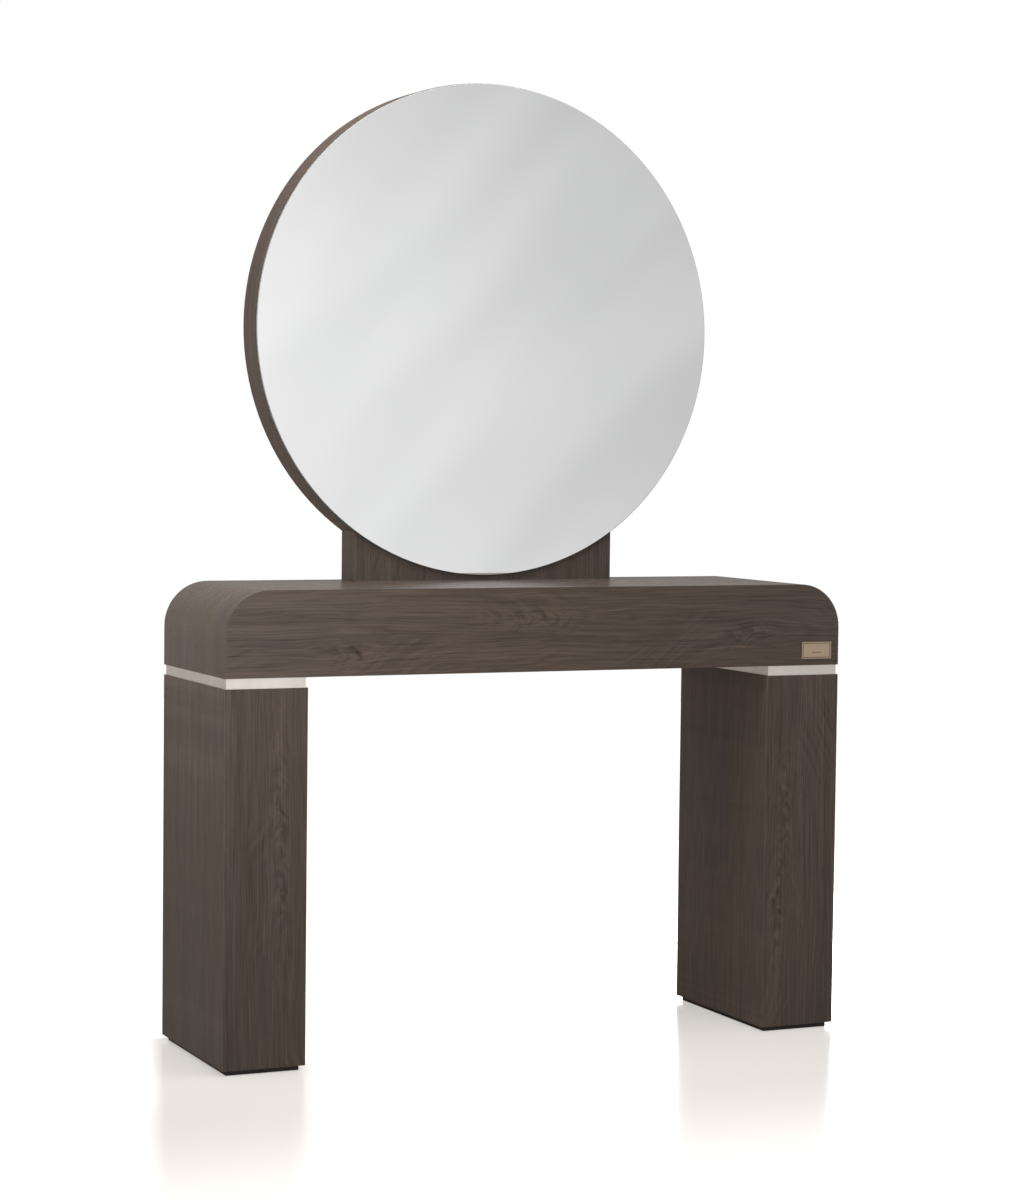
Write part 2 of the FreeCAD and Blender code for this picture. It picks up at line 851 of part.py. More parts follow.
def make_column_boards():
    """The front board, and the rear board with its light groove, service opening and lead hole."""
    subpart(lollipop("mirror_front_board", COLUMN_FRONT, "dims.column_board"))
    blank = lollipop("rear_board_blank", REAR_BOARD_FRONT, "dims.column_board")
    groove = ring(
        "light_groove",
        "dims.channel_radius + dims.channel_width / 2",
        "dims.channel_radius - dims.channel_width / 2",
        "dims.channel_depth",
        "0",
        CHANNEL_FLOOR,
        MIRROR_CENTRE,
        "Y",
    )
    opening = box(
        "service_opening",
        "dims.cover_width - 2 * dims.cover_overlap",
        "dims.column_board",
        "dims.cover_height - 2 * dims.cover_overlap",
        "0",
        f"{BACK} - dims.column_board / 2",
        f"{COVER_BASE} + dims.cover_overlap",
    )
    lead_hole = cylinder(
        "rear_board_lead_hole",
        "dims.light_lead_radius + dims.lead_clearance / 4",
        "dims.column_board",
        LIGHT_LEAD_X,
        REAR_BOARD_FRONT,
        LIGHT_LEAD_LEVEL,
        "Y",
    )
    cover_face = f"({BACK} + dims.cover_thickness)"
    holes = [
        screw_hole(f"cover_pilot_{i}", x, cover_face, z, "dims.cover_screw_length")
        for i, (x, z) in enumerate(COVER_SCREWS, start=1)
    ]
    subpart(cut("mirror_rear_board", blank, groove, opening, lead_hole, *holes))


def make_column_core():
    """The lipping round the boards' edges, and what stands between the boards: base block and stiles."""
    whole_rim = ring(
        "whole_rim",
        "dims.head_radius",
        HEAD_INSIDE,
        "dims.column_thickness",
        "0",
        COLUMN_FRONT,
        MIRROR_CENTRE,
        "Y",
    )
    support_space = box(
        "support_space",
        "dims.column_width",
        "dims.column_thickness",
        "dims.mirror_rise",
        "0",
        CORE_MIDDLE,
        WORKTOP,
    )
    subpart(cut("mirror_rim_band", whole_rim, support_space))
    for side, sign in SIDES.items():
        strip_blank = box(
            f"{side}_strip_blank",
            "dims.lipping",
            "dims.column_thickness",
            "dims.mirror_rise",
            f"{sign} * (dims.column_width - dims.lipping) / 2",
            CORE_MIDDLE,
            WORKTOP,
        )
        head_space = cylinder(
            f"{side}_head_space",
            HEAD_INSIDE,
            "dims.column_thickness",
            "0",
            COLUMN_FRONT,
            MIRROR_CENTRE,
            "Y",
        )
        subpart(cut(f"column_{side}_strip", strip_blank, head_space))
        subpart(
            box(
                f"column_{side}_stile",
                "dims.stile_width",
                CORE_DEPTH,
                "dims.mirror_rise + dims.stile_reach - dims.base_block_height",
                f"{sign} * dims.stile_offset",
                CORE_MIDDLE,
                f"{WORKTOP} + dims.base_block_height",
            )
        )
    blank = box(
        "base_block_blank",
        SUPPORT_INSIDE,
        CORE_DEPTH,
        "dims.base_block_height",
        "0",
        CORE_MIDDLE,
        WORKTOP,
    )
    cuts = []
    for number, x in enumerate(COLUMN_BOLTS, start=1):
        socket = cylinder(
            f"base_socket_{number}",
            "dims.insert_hole_radius",
            "dims.column_insert_length",
            x,
            CORE_MIDDLE,
            WORKTOP,
        )
        tip = cylinder(
            f"base_tip_hole_{number}",
            "dims.bolt_hole_radius",
            "dims.base_block_height",
            x,
            CORE_MIDDLE,
            WORKTOP,
        )
        cuts.append(fuse(f"base_hole_{number}", socket, tip))
    cuts.append(
        cylinder(
            "base_lead_hole",
            "dims.power_lead_radius + dims.lead_clearance",
            "dims.base_block_height",
            POWER_LEAD_X,
            CORE_MIDDLE,
            WORKTOP,
        )
    )
    subpart(cut("column_base_block", blank, *cuts))


def make_column_fasteners():
    """The bolts that rise from inside the console into the column's base block."""
    bolts = [
        bolt(f"column_bolt_{i}", x, CORE_MIDDLE, SHELL_INSIDE, "Z")
        for i, x in enumerate(COLUMN_BOLTS, start=1)
    ]
    subpart(group("column_bolts", bolts))
    inserts = [
        threaded_insert(
            f"column_insert_{i}",
            "dims.insert_radius",
            "dims.insert_bore_radius",
            "dims.column_insert_length",
            x,
            CORE_MIDDLE,
            WORKTOP,
        )
        for i, x in enumerate(COLUMN_BOLTS, start=1)
    ]
    subpart(group("column_bolt_inserts", inserts))


def make_glass():
    """The round mirror glass with a ground edge, and the foam tape that holds it."""
    body = doc.addObject("PartDesign::Body", "mirror_glass")
    sketch = new_sketch(body, "glass_outline", "XZ_Plane")
    draw_circle(sketch, "dims.glass_radius")
    disc = pad(body, sketch, "dims.glass_thickness")
    edge = body.newObject("PartDesign::Chamfer", "glass_edge")
    edge.Base = (disc, edges_where(disc, lambda e: isinstance(e.Curve, Part.Circle)))
    edge.setExpression("Size", "dims.glass_chamfer")
    body.Tip = edge
    subpart(place(body, "0", f"{COLUMN_FRONT} - dims.tape_thickness", MIRROR_CENTRE))
    tapes = [
        box(
            f"tape_{i + 3}",
            "dims.tape_width",
            "dims.tape_thickness",
            "dims.tape_length",
            f"{i} * dims.tape_spacing",
            f"{COLUMN_FRONT} - dims.tape_thickness / 2",
            f"{MIRROR_CENTRE} - dims.tape_length / 2",
        )
        for i in range(-2, 3)
    ]
    subpart(group("mirror_mounting_tape", tapes))


# ---------------------------------------------------------------- light and power

LIGHT_LEAD_LEVEL = f"({MIRROR_CENTRE} - sqrt(dims.channel_radius^2 - dims.light_lead_offset^2))"
COVER_SCREWS = [
    (
        f"({i} * (dims.cover_width / 2 - dims.cover_screw_inset))",
        f"({COVER_BASE} + dims.cover_height / 2 + {j} * (dims.cover_height / 2 - dims.cover_screw_inset))",
    )
    for i in (-1, 1)
    for j in (-1, 1)
]


def make_light():
    """The light ring in the rear board: channel, strip and diffuser, then the driver behind its cover."""
    outer = "dims.channel_radius + dims.channel_width / 2"
    inner = "dims.channel_radius - dims.channel_width / 2"
    gutter_outer = f"{outer} - dims.channel_wall"
    gutter_inner = f"{inner} + dims.channel_wall"
    gutter_floor = f"({CHANNEL_FLOOR} + dims.channel_wall)"
    gutter_depth = "(dims.channel_depth - dims.channel_wall)"
    blank = ring(
        "channel_blank", outer, inner, "dims.channel_depth", "0", CHANNEL_FLOOR, MIRROR_CENTRE, "Y"
    )
    gutter = ring(
        "channel_gutter", gutter_outer, gutter_inner, gutter_depth, "0", gutter_floor, MIRROR_CENTRE, "Y"
    )
    lead_hole = cylinder(
        "channel_lead_hole",
        "dims.light_lead_radius + dims.lead_clearance / 4",
        "dims.channel_wall",
        LIGHT_LEAD_X,
        CHANNEL_FLOOR,
        LIGHT_LEAD_LEVEL,
        "Y",
    )
    subpart(cut("led_channel", blank, gutter, lead_hole))
    subpart(
        ring(
            "led_strip",
            "dims.channel_radius + dims.strip_width / 2",
            "dims.channel_radius - dims.strip_width / 2",
            "dims.strip_thickness",
            "0",
            gutter_floor,
            MIRROR_CENTRE,
            "Y",
        )
    )
    subpart(
        ring(
            "led_diffuser",
            gutter_outer,
            gutter_inner,
            "dims.channel_wall",
            "0",
            f"{BACK} - dims.channel_wall",
            MIRROR_CENTRE,
            "Y",
        )
    )
    subpart(
        box(
            "led_driver",
            "dims.driver_length",
            "dims.driver_depth",
            "dims.driver_height",
            "dims.driver_offset",
            CORE_MIDDLE,
            DRIVER_BASE,
        )
    )


def make_service_cover():
    """A thin metal cover over the service opening, with its four screws."""
    outside = f"({BACK} + dims.cover_thickness)"
    blank = box(
        "cover_blank",
        "dims.cover_width",
        "dims.cover_thickness",
        "dims.cover_height",
        "0",
        f"{BACK} + dims.cover_thickness / 2",
        COVER_BASE,
    )
    holes = [
        screw_hole(f"cover_hole_{i}", x, outside, z, "dims.cover_screw_length")
        for i, (x, z) in enumerate(COVER_SCREWS, start=1)
    ]
    subpart(cut("service_cover", blank, *holes))
    screws = [
        screw(f"cover_screw_{i}", x, outside, z, "dims.cover_screw_length")
        for i, (x, z) in enumerate(COVER_SCREWS, start=1)
    ]
    subpart(group("service_cover_screws", screws))


def make_inlet():
    """The three-pin appliance inlet in the back panel."""
    face = f"({BACK} + dims.inlet_proud)"
    flange_back = f"({face} - dims.inlet_flange_thickness)"
    flange = box(
        "inlet_flange",
        "dims.inlet_flange_width",
        "dims.inlet_flange_thickness",
        "dims.inlet_flange_height",
        INLET_X,
        f"{face} - dims.inlet_flange_thickness / 2",
        f"{CONSOLE_MIDDLE} - dims.inlet_flange_height / 2",
    )
    barrel = box(
        "inlet_barrel",
        "dims.inlet_width",
        "dims.inlet_depth",
        "dims.inlet_height",
        INLET_X,
        f"{flange_back} - dims.inlet_depth / 2",
        f"{CONSOLE_MIDDLE} - dims.inlet_height / 2",
    )
    socket = box(
        "inlet_socket",
        "dims.inlet_socket_width",
        "dims.inlet_socket_depth",
        "dims.inlet_socket_height",
        INLET_X,
        f"{face} - dims.inlet_socket_depth / 2",
        f"{CONSOLE_MIDDLE} - dims.inlet_socket_height / 2",
    )
    housing = cut("inlet_housing", fuse("inlet_blank", flange, barrel), socket)
    pins = [
        box(
            f"inlet_pin_{i + 2}",
            "dims.inlet_pin_width",
            "dims.inlet_pin_length",
            "dims.inlet_pin_height",
            f"{INLET_X} + {i} * dims.inlet_pin_pitch",
            f"{face} - dims.inlet_socket_depth + dims.inlet_pin_length / 2",
            f"{CONSOLE_MIDDLE} - dims.inlet_pin_height / 2 - {abs(i) - 0.5} * dims.inlet_pin_drop",
        )
        for i in (-1, 0, 1)
    ]
    tab = box(
        "inlet_tab",
        "2 * dims.inlet_pin_pitch",
        "dims.inlet_tab_length",
        "dims.inlet_pin_height",
        INLET_X,
        f"{flange_back} - dims.inlet_depth - dims.inlet_tab_length / 2",
        f"{CONSOLE_MIDDLE} - dims.inlet_pin_height / 2",
    )
    subpart(fuse("power_inlet", housing, tab, *pins))


def make_switch():
    """The rocker switch under the console: a snap-in housing, and a rocker at rest in its off place."""
    bezel = box(
        "switch_bezel",
        "dims.switch_bezel_width",
        "dims.switch_bezel_depth",
        "dims.switch_bezel_height",
        SWITCH_X,
        SWITCH_Y,
        f"{CONSOLE_BASE} - dims.switch_bezel_height",
    )
    barrel = box(
        "switch_barrel",
        "dims.switch_body_width",
        "dims.switch_body_depth",
        "dims.switch_body_height",
        SWITCH_X,
        SWITCH_Y,
        CONSOLE_BASE,
    )
    tabs = [
        box(
            f"switch_tab_{i + 2}",
            "dims.power_lead_radius",
            "2 * dims.power_lead_radius",
            "dims.switch_tab_height",
            f"{SWITCH_X} + {i} * dims.switch_tab_pitch / 2",
            SWITCH_Y,
            f"{CONSOLE_BASE} + dims.switch_body_height",
        )
        for i in (-1, 1)
    ]
    well = box(
        "switch_well",
        "dims.switch_well_width",
        "dims.switch_well_depth",
        "dims.switch_well_height + dims.switch_bezel_height",
        SWITCH_X,
        SWITCH_Y,
        f"{CONSOLE_BASE} - dims.switch_bezel_height",
    )
    pin_hole = cylinder(
        "switch_pin_hole",
        "dims.rocker_pin_hole_radius",
        "dims.switch_body_depth",
        SWITCH_X,
        f"{SWITCH_Y} - dims.switch_body_depth / 2",
        ROCKER_LEVEL,
        "Y",
    )
    subpart(cut("switch_housing", fuse("switch_blank", bezel, barrel, *tabs), well, pin_hole))

    body = doc.addObject("PartDesign::Body", "switch_rocker")
    sketch = new_sketch(body, "rocker_outline", "XZ_Plane")
    draw_rocker(sketch)
    cap = pad(body, sketch, "dims.rocker_depth")
    cap.Midplane = True
    pin_sketch = new_sketch(body, "rocker_pin_outline", "XZ_Plane")
    draw_circle(pin_sketch, "dims.rocker_pin_radius")
    pin = pad(body, pin_sketch, "dims.rocker_pin_length")
    pin.Midplane = True
    body.Tip = pin
    subpart(place(body, SWITCH_X, SWITCH_Y, ROCKER_LEVEL))
    body.Placement.Rotation = Rotation(Vector(0, 1, 0), -size("dims.rocker_tilt"))


def draw_rocker(sketch):
    """The rocker's side view about its pin: flat on top, with two faces in a shallow valley below."""
    draw_polygon(sketch, [(-8, 2), (8, 2), (8, -5), (0, -3), (-8, -5)])
    sketch.addConstraint(Sketcher.Constraint("Vertical", 1))
    sketch.addConstraint(Sketcher.Constraint("Symmetric", 0, 1, 0, 2, -2))
    sketch.addConstraint(Sketcher.Constraint("Symmetric", 1, 2, 3, 2, -2))
    sketch.addConstraint(Sketcher.Constraint("PointOnObject", 2, 2, -2))
    drive(sketch, "DistanceX", (0, 1, 0, 2), 16, "dims.rocker_width")
    drive(sketch, "DistanceY", (-1, 1, 0, 2), 2, "dims.rocker_crown")
    drive(sketch, "DistanceY", (1, 2, -1, 1), 5, "dims.rocker_skirt")
    drive(sketch, "DistanceY", (2, 2, -1, 1), 3, "dims.rocker_valley")


def make_leads():
    """The leads, whole from end to end: inlet to switch, switch to driver, driver to light strip."""
    inlet_reach = "(dims.inlet_flange_thickness + dims.inlet_depth + dims.inlet_tab_length)"
    inlet_end = f"({BACK} + dims.inlet_proud - {inlet_reach})"
    tab_top = f"({CONSOLE_BASE} + dims.switch_body_height + dims.switch_tab_height)"
    front_tab = f"({SWITCH_X} - dims.switch_tab_pitch / 2)"
    far_tab = f"({SWITCH_X} + dims.switch_tab_pitch / 2)"
    driver_right = "(dims.driver_offset + dims.driver_length / 2)"
    driver_left = "(dims.driver_offset - dims.driver_length / 2)"
    inlet_to_switch = [
        (INLET_X, inlet_end, CONSOLE_MIDDLE),
        (INLET_X, "dims.inlet_lead_slack", CONSOLE_MIDDLE),
        (far_tab, SWITCH_Y, CONSOLE_MIDDLE),
        (far_tab, SWITCH_Y, tab_top),
    ]
    switch_to_driver = [
        (front_tab, SWITCH_Y, tab_top),
        (front_tab, SWITCH_Y, CONSOLE_MIDDLE),
        ("dims.driver_lead_turn", 0, CONSOLE_MIDDLE),
        (POWER_LEAD_X, 0, CONSOLE_MIDDLE),
        (POWER_LEAD_X, CORE_MIDDLE, CONSOLE_MIDDLE),
        (POWER_LEAD_X, CORE_MIDDLE, DRIVER_MIDDLE),
        (driver_right, CORE_MIDDLE, DRIVER_MIDDLE),
    ]
    driver_to_strip = [
        (driver_left, CORE_MIDDLE, DRIVER_MIDDLE),
        (LIGHT_LEAD_X, CORE_MIDDLE, DRIVER_MIDDLE),
        (LIGHT_LEAD_X, CORE_MIDDLE, LIGHT_LEAD_LEVEL),
        (LIGHT_LEAD_X, f"{CHANNEL_FLOOR} + dims.channel_wall", LIGHT_LEAD_LEVEL),
    ]
    power_radius = size("dims.power_lead_radius")
    subpart(lead("inlet_lead", power_radius, [point(*p) for p in inlet_to_switch]))
    subpart(lead("driver_lead", power_radius, [point(*p) for p in switch_to_driver]))
    subpart(lead("light_lead", size("dims.light_lead_radius"), [point(*p) for p in driver_to_strip]))


# ---------------------------------------------------------------- the whole station

make_console_panels()
make_console_shell()
make_console_bottom()
make_ribs()
make_name_plate()
for side_name, side_sign in SIDES.items():
    make_leg_panels(side_name, side_sign)
    make_leg_boards(side_name, side_sign)
    make_spacer(side_name, side_sign)
make_leg_fasteners()
make_feet()
make_column_boards()
make_column_core()
make_column_fasteners()
make_glass()
make_light()
make_service_cover()
make_inlet()
make_switch()
make_leads()
doc.recompute()

for thing in doc.Objects:
    bad = {"Invalid", "Error"} & set(thing.State)
    if bad:
        raise RuntimeError(f"{thing.Label} is {bad}")
for piece in subparts:
    if piece.Shape.isNull() or not piece.Shape.isValid() or not piece.Shape.Solids:
        raise RuntimeError(f"{piece.Label} has no valid shape")

os.makedirs("parts", exist_ok=True)
for piece in subparts:
    piece.Shape.exportStep(f"parts/{piece.Label}.step")
print(f"{len(subparts)} sub-parts written")
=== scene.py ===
"""The looks of a salon styling station: laminate, metal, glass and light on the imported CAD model.

Everything is in metres in the model's own frame: +X to the viewer's right, +Y to the back, +Z up.
The CAD nodes keep their shapes. Each one gets a procedural material, and two small pieces are added.
"""

import math

import bmesh
import bpy
from mathutils import Matrix, Vector


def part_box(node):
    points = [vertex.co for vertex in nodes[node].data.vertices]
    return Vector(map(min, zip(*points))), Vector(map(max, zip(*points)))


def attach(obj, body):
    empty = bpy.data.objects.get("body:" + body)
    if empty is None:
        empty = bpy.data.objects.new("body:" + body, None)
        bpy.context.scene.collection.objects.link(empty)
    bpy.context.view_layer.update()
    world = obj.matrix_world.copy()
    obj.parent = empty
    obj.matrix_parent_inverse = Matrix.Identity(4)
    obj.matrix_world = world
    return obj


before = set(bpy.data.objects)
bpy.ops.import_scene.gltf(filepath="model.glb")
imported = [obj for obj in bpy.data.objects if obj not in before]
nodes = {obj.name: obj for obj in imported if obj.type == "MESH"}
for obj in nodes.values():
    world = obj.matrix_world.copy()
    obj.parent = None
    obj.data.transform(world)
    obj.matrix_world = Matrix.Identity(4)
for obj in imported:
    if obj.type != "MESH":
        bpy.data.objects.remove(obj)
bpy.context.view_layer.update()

scene = bpy.context.scene

SIDES = ("left", "right")
STATION = "station"

# ---------------------------------------------------------------- places worked out from the frame

CONSOLE_LOW, CONSOLE_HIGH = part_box("console_laminate_wrap")
CONSOLE_FRONT = CONSOLE_LOW.y
WORKTOP = CONSOLE_HIGH.z
PANEL_HALF_HEIGHT = 0.075
CORNER_RADIUS = 0.080

GLASS_LOW, GLASS_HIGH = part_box("mirror_glass")
GLASS_RADIUS = (GLASS_HIGH.x - GLASS_LOW.x) / 2
MIRROR_CENTRE = Vector((0, GLASS_LOW.y, (GLASS_LOW.z + GLASS_HIGH.z) / 2))

LEG_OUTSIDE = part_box("left_leg_outer_panel")[0].x
LEG_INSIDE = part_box("left_leg_inner_panel")[1].x
LEG_CENTRE = (LEG_OUTSIDE + LEG_INSIDE) / 2
LEG_HALF_WIDTH = (LEG_INSIDE - LEG_OUTSIDE) / 2

# ---------------------------------------------------------------- colours

WHITE = (1, 1, 1, 1)


def colour(red, green, blue):
    """A linear colour from the 0 to 255 values that a screen shows."""
    channels = [c / 255 for c in (red, green, blue)]
    linear = [c / 12.92 if c <= 0.04045 else ((c + 0.055) / 1.055) ** 2.4 for c in channels]
    return (*linear, 1.0)


def shade(tint, factor, lift=0.0):
    """A linear colour made darker or lighter, at most white."""
    return (*(min(1.0, c * factor + lift) for c in tint[:3]), 1.0)


def tinted(tint, factors):
    """A linear colour with a factor for each of red, green and blue."""
    return (*(c * factor for c, factor in zip(tint, factors)), 1.0)


# ---------------------------------------------------------------- small helpers for node materials

# Where noise mostly stays.
NOISE_RANGE = (0.30, 0.70)

# How nearly the rounded and the true normal agree: where an edge starts to count, and where it counts
# in full.
EDGE_STARTS = 0.985
EDGE_IN_FULL = 0.90
EDGE_SAMPLES = 4


class Nodes:
    """A node tree under construction, with short calls for the nodes that it uses."""

    def __init__(self, tree):
        self.tree = tree

    def node(self, kind, inputs=None, **settings):
        """A node with its settings and inputs: an input is a value or another node's output."""
        made = self.tree.nodes.new(kind)
        for key, value in settings.items():
            setattr(made, key, value)
        for key, value in (inputs or {}).items():
            self.feed(made.inputs[key], value)
        return made

    def feed(self, socket, value):
        """Links an output to a socket, or sets the socket's own value."""
        if isinstance(value, bpy.types.NodeSocket):
            self.tree.links.new(value, socket)
        else:
            socket.default_value = value

    # places and directions

    def place(self):
        """The point in the model's frame, in metres."""
        return self.node("ShaderNodeTexCoord").outputs["Object"]

    def place_from(self, centre):
        """The point in metres from a centre."""
        return self.add(self.place(), tuple(-c for c in centre))

    def normal(self):
        return self.node("ShaderNodeNewGeometry").outputs["Normal"]

    def seen_by_camera(self):
        """1 where the camera looks straight at the surface, 0 for light and reflections."""
        return self.node("ShaderNodeLightPath").outputs["Is Camera Ray"]

    # numbers

    def math(self, operation, a, b=0.0):
        return self.node("ShaderNodeMath", {0: a, 1: b}, operation=operation).outputs[0]

    def minus(self, a, b):
        return self.math("SUBTRACT", a, b)

    def absolute(self, a):
        return self.math("ABSOLUTE", a)

    def positive(self, a):
        """The value where it is above 0, and 0 elsewhere."""
        return self.math("MAXIMUM", a, 0.0)

    def total(self, *values):
        """The sum of several values."""
        result = values[0]
        for value in values[1:]:
            result = self.math("ADD", result, value)
        return result

    def product(self, *values):
        """The product of several values."""
        result = values[0]
        for value in values[1:]:
            result = self.math("MULTIPLY", result, value)
        return result

    def length(self, a, b):
        """The length of a flat vector."""
        return self.math("SQRT", self.total(self.product(a, a), self.product(b, b)))

    def remap(self, value, low, high, to_low=0.0, to_high=1.0):
        """A smooth step from one range to another."""
        values = {0: value, 1: low, 2: high, 3: to_low, 4: to_high}
        return self.node("ShaderNodeMapRange", values, interpolation_type="SMOOTHSTEP").outputs[0]

    def stretch(self, value):
        """Noise stretched so that it covers 0 to 1, since it seldom leaves the middle."""
        return self.remap(value, *NOISE_RANGE)

    def swing(self, value, amount):
        """Turns noise into a change between minus and plus an amount."""
        return self.remap(value, *NOISE_RANGE, -amount, amount)

    def sway(self, value, amount):
        """Turns noise into a straight change between minus and plus half an amount."""
        return self.product(self.minus(value, 0.5), amount)

    def hill(self, along, across, length, width):
        """A smooth hill: 1 at the middle, close to 0 one length or width away."""
        a = self.math("DIVIDE", along, length)
        b = self.math("DIVIDE", across, width)
        square = self.total(self.product(a, a), self.product(b, b))
        return self.math("EXPONENT", self.product(square, -2.0))

    # vectors, colours and relief

    def combine(self, x, y, z):
        return self.node("ShaderNodeCombineXYZ", {0: x, 1: y, 2: z}).outputs[0]

    def split(self, vector):
        return self.node("ShaderNodeSeparateXYZ", {0: vector}).outputs

    def scale(self, vector, factors):
        return self.node("ShaderNodeVectorMath", {0: vector, 1: factors}, operation="MULTIPLY").outputs[0]

    def add(self, vector, offset):
        return self.node("ShaderNodeVectorMath", {0: vector, 1: offset}, operation="ADD").outputs[0]

    def times(self, colour_or_vector, factor):
        """A colour or vector multiplied by one number."""
        values = {0: colour_or_vector, "Scale": factor}
        return self.node("ShaderNodeVectorMath", values, operation="SCALE").outputs[0]

    def noise(self, vector, scale, detail=2.0, roughness=0.5, distortion=0.0):
        """Fractal noise from about 0 to 1."""
        values = {"Vector": vector, "Scale": scale, "Detail": detail}
        values.update({"Roughness": roughness, "Distortion": distortion})
        return self.node("ShaderNodeTexNoise", values).outputs["Fac"]

    def mix(self, factor, a, b):
        """A colour between two colours."""
        made = self.node("ShaderNodeMix", data_type="RGBA", blend_type="MIX")
        self.feed(made.inputs[0], factor)
        self.feed(made.inputs[6], a)
        self.feed(made.inputs[7], b)
        return made.outputs[2]

    def bump(self, height, strength, distance):
        values = {"Strength": strength, "Distance": distance, "Height": height}
        return self.node("ShaderNodeBump", values).outputs[0]

    def edges(self, radius):
        """1 on edges and corners that stand out, 0 on flat faces."""
        bevel = self.node("ShaderNodeBevel", {"Radius": radius}, samples=EDGE_SAMPLES).outputs[0]
        both = {0: bevel, 1: self.normal()}
        alike = self.node("ShaderNodeVectorMath", both, operation="DOT_PRODUCT").outputs["Value"]
        return self.remap(alike, EDGE_STARTS, EDGE_IN_FULL)


class Shader(Nodes):
    """The nodes of a material with one Principled shader. A name starts a new material."""

    def __init__(self, material):
        if isinstance(material, str):
            material = bpy.data.materials.new(material)
            material.use_nodes = True
        super().__init__(material.node_tree)
        self.material = material
        self.bsdf = next(n for n in self.tree.nodes if n.type == "BSDF_PRINCIPLED")

    def surface(self, **sockets):
        """Sets the Principled shader's sockets: an underscore stands for a space."""
        for key, value in sockets.items():
            self.feed(self.bsdf.inputs[key.replace("_", " ")], value)
        return self.material


def paint(material, *names):
    """Gives CAD nodes a material."""
    for name in names:
        mesh = nodes[name].data
        mesh.materials.clear()
        mesh.materials.append(material)


# ---------------------------------------------------------------- dark wood-grain laminate

WOOD_BASE = colour(83, 71, 63)
WARM_FACTORS = (1.03, 1.0, 0.94)
COOL_FACTORS = (0.985, 0.985, 1.05)
# A painted highlight along the edges that stand out: how much paler it makes them, the radius that finds
# them, and how strongly it shows.
EDGE_HIGHLIGHT_FACTOR = 2.1
EDGE_HIGHLIGHT_RADIUS = 0.0012
EDGE_HIGHLIGHT_AMOUNT = 0.5
LAMINATE_SPECULAR = 0.3
LAMINATE_RELIEF_DEPTH = 0.0004

LAMINATE_EXTRA_ROUGHNESS = 0.10

# Streaks along the grain: the scale of their noise along it and across it, its detail, and where it isn't
# plain, its roughness and distortion.
HAIR_LINES = (10.0, 640.0, 2.0, 0.6)
FINE_LINES = (5.5, 340.0, 3.0, 0.65, 0.2)
BANDS = (2.0, 70.0, 2.0, 0.6)
BROAD_BANDS = (1.0, 13.0, 2.0)
PORES = (28.0, 820.0, 1.0)
HUE_BANDS = (1.5, 16.0, 16.0)
HUE_OFFSET = (4.0, 2.0, 9.0)

# How much each lightens and darkens the board.
HAIR_SWING = 0.17
FINE_SWING = 0.18
BAND_SWING = 0.09
BROAD_SWING = 0.06
PORES_DARKEN = 0.22
PORES_SHOW = (0.60, 0.74)

HUE_RANGE = (0.32, 0.68)

# How much of the relief each kind of line makes.
HAIR_RELIEF = 0.6
FINE_RELIEF = 0.4

# How far a knot bends the grain and how far its dark heart reaches, along and across, in sizes of the knot.
KNOT_BENDS = (4.0, 2.0)
KNOT_HEART = (1.6, 0.8)
KNOT_DARKENS = 0.22
KNOT_TURNS_GRAIN = 0.85

# How far the grain drifts across the board, and the scale of the drift along and across.
GRAIN_DRIFT = 0.0035
GRAIN_DRIFT_ALONG = 3.0
GRAIN_DRIFT_ACROSS = 9.0

# Arches: how far they swing in tone, how steeply they lean away from their middle line, how far that line
# wanders and how quickly, how round their tips are, and the scale of their rings along and across.
FAINT_ARCH_SWING = 0.13
FAINT_ARCH_SLANT = 3.2
FAINT_ARCH_WANDER = 0.05
FAINT_ARCH_WANDER_SCALE = 2.2
FAINT_ARCH_TIP = 0.008
FAINT_RINGS_ALONG = 34.0
FAINT_RINGS_ACROSS = 30.0
STRONG_ARCH_SWING = 0.42
STRONG_ARCH_SLANT = 1.6
STRONG_ARCH_WANDER = 0.008
STRONG_ARCH_WANDER_SCALE = 18.0
STRONG_ARCH_TIP = 0.005
STRONG_RINGS_ALONG = 52.0
STRONG_RINGS_ACROSS = 60.0

# Faint arches show only in patches: the scale of these along and across, and the noise where they show.
PATCH_ALONG = 5.0
PATCH_ACROSS = 9.0
PATCH_SHOWS = (0.45, 0.62)

# Each board takes its figure from another part of the noise: its seed times these.
SEED_STEPS = (7.31, 0.83, 1.97)
FIRST_LEG_SEED = 5.0
LEG_SEED_STEP = 1.3


def wrap_coordinates(s):
    """Follows the sheet round the console's bends, so that its grain runs up the ends and along the top."""
    x, y, z = s.split(s.place())
    straight = CONSOLE_HIGH.x - CORNER_RADIUS
    bend_level = WORKTOP - CORNER_RADIUS
    across = s.absolute(x)
    beyond = s.positive(s.minus(across, straight))
    above = s.positive(s.minus(z, bend_level))
    below = s.positive(s.minus(bend_level, z))
    arc = s.product(s.math("ARCTAN2", beyond, above), CORNER_RADIUS)
    flat = s.math("MINIMUM", across, straight)
    along = s.total(flat, arc, below)
    return s.combine(s.product(along, s.math("SIGN", x)), y, 0.0)


def rim_coordinates(s):
    """Follows the edge banding round the head: its grain runs along the rim and meets under the column."""
    x, y, z = s.split(s.place_from(MIRROR_CENTRE))
    round_rim = s.product(s.math("ARCTAN2", x, z), GLASS_RADIUS)
    return s.combine(round_rim, y, 0.0)


def streaks(s, board, along, across, detail, roughness=0.5, distortion=0.0):
    """Noise drawn out along the grain: a small scale along it and a large one across it."""
    return s.noise(s.scale(board, (along, across, across)), 1.0, detail, roughness, distortion)


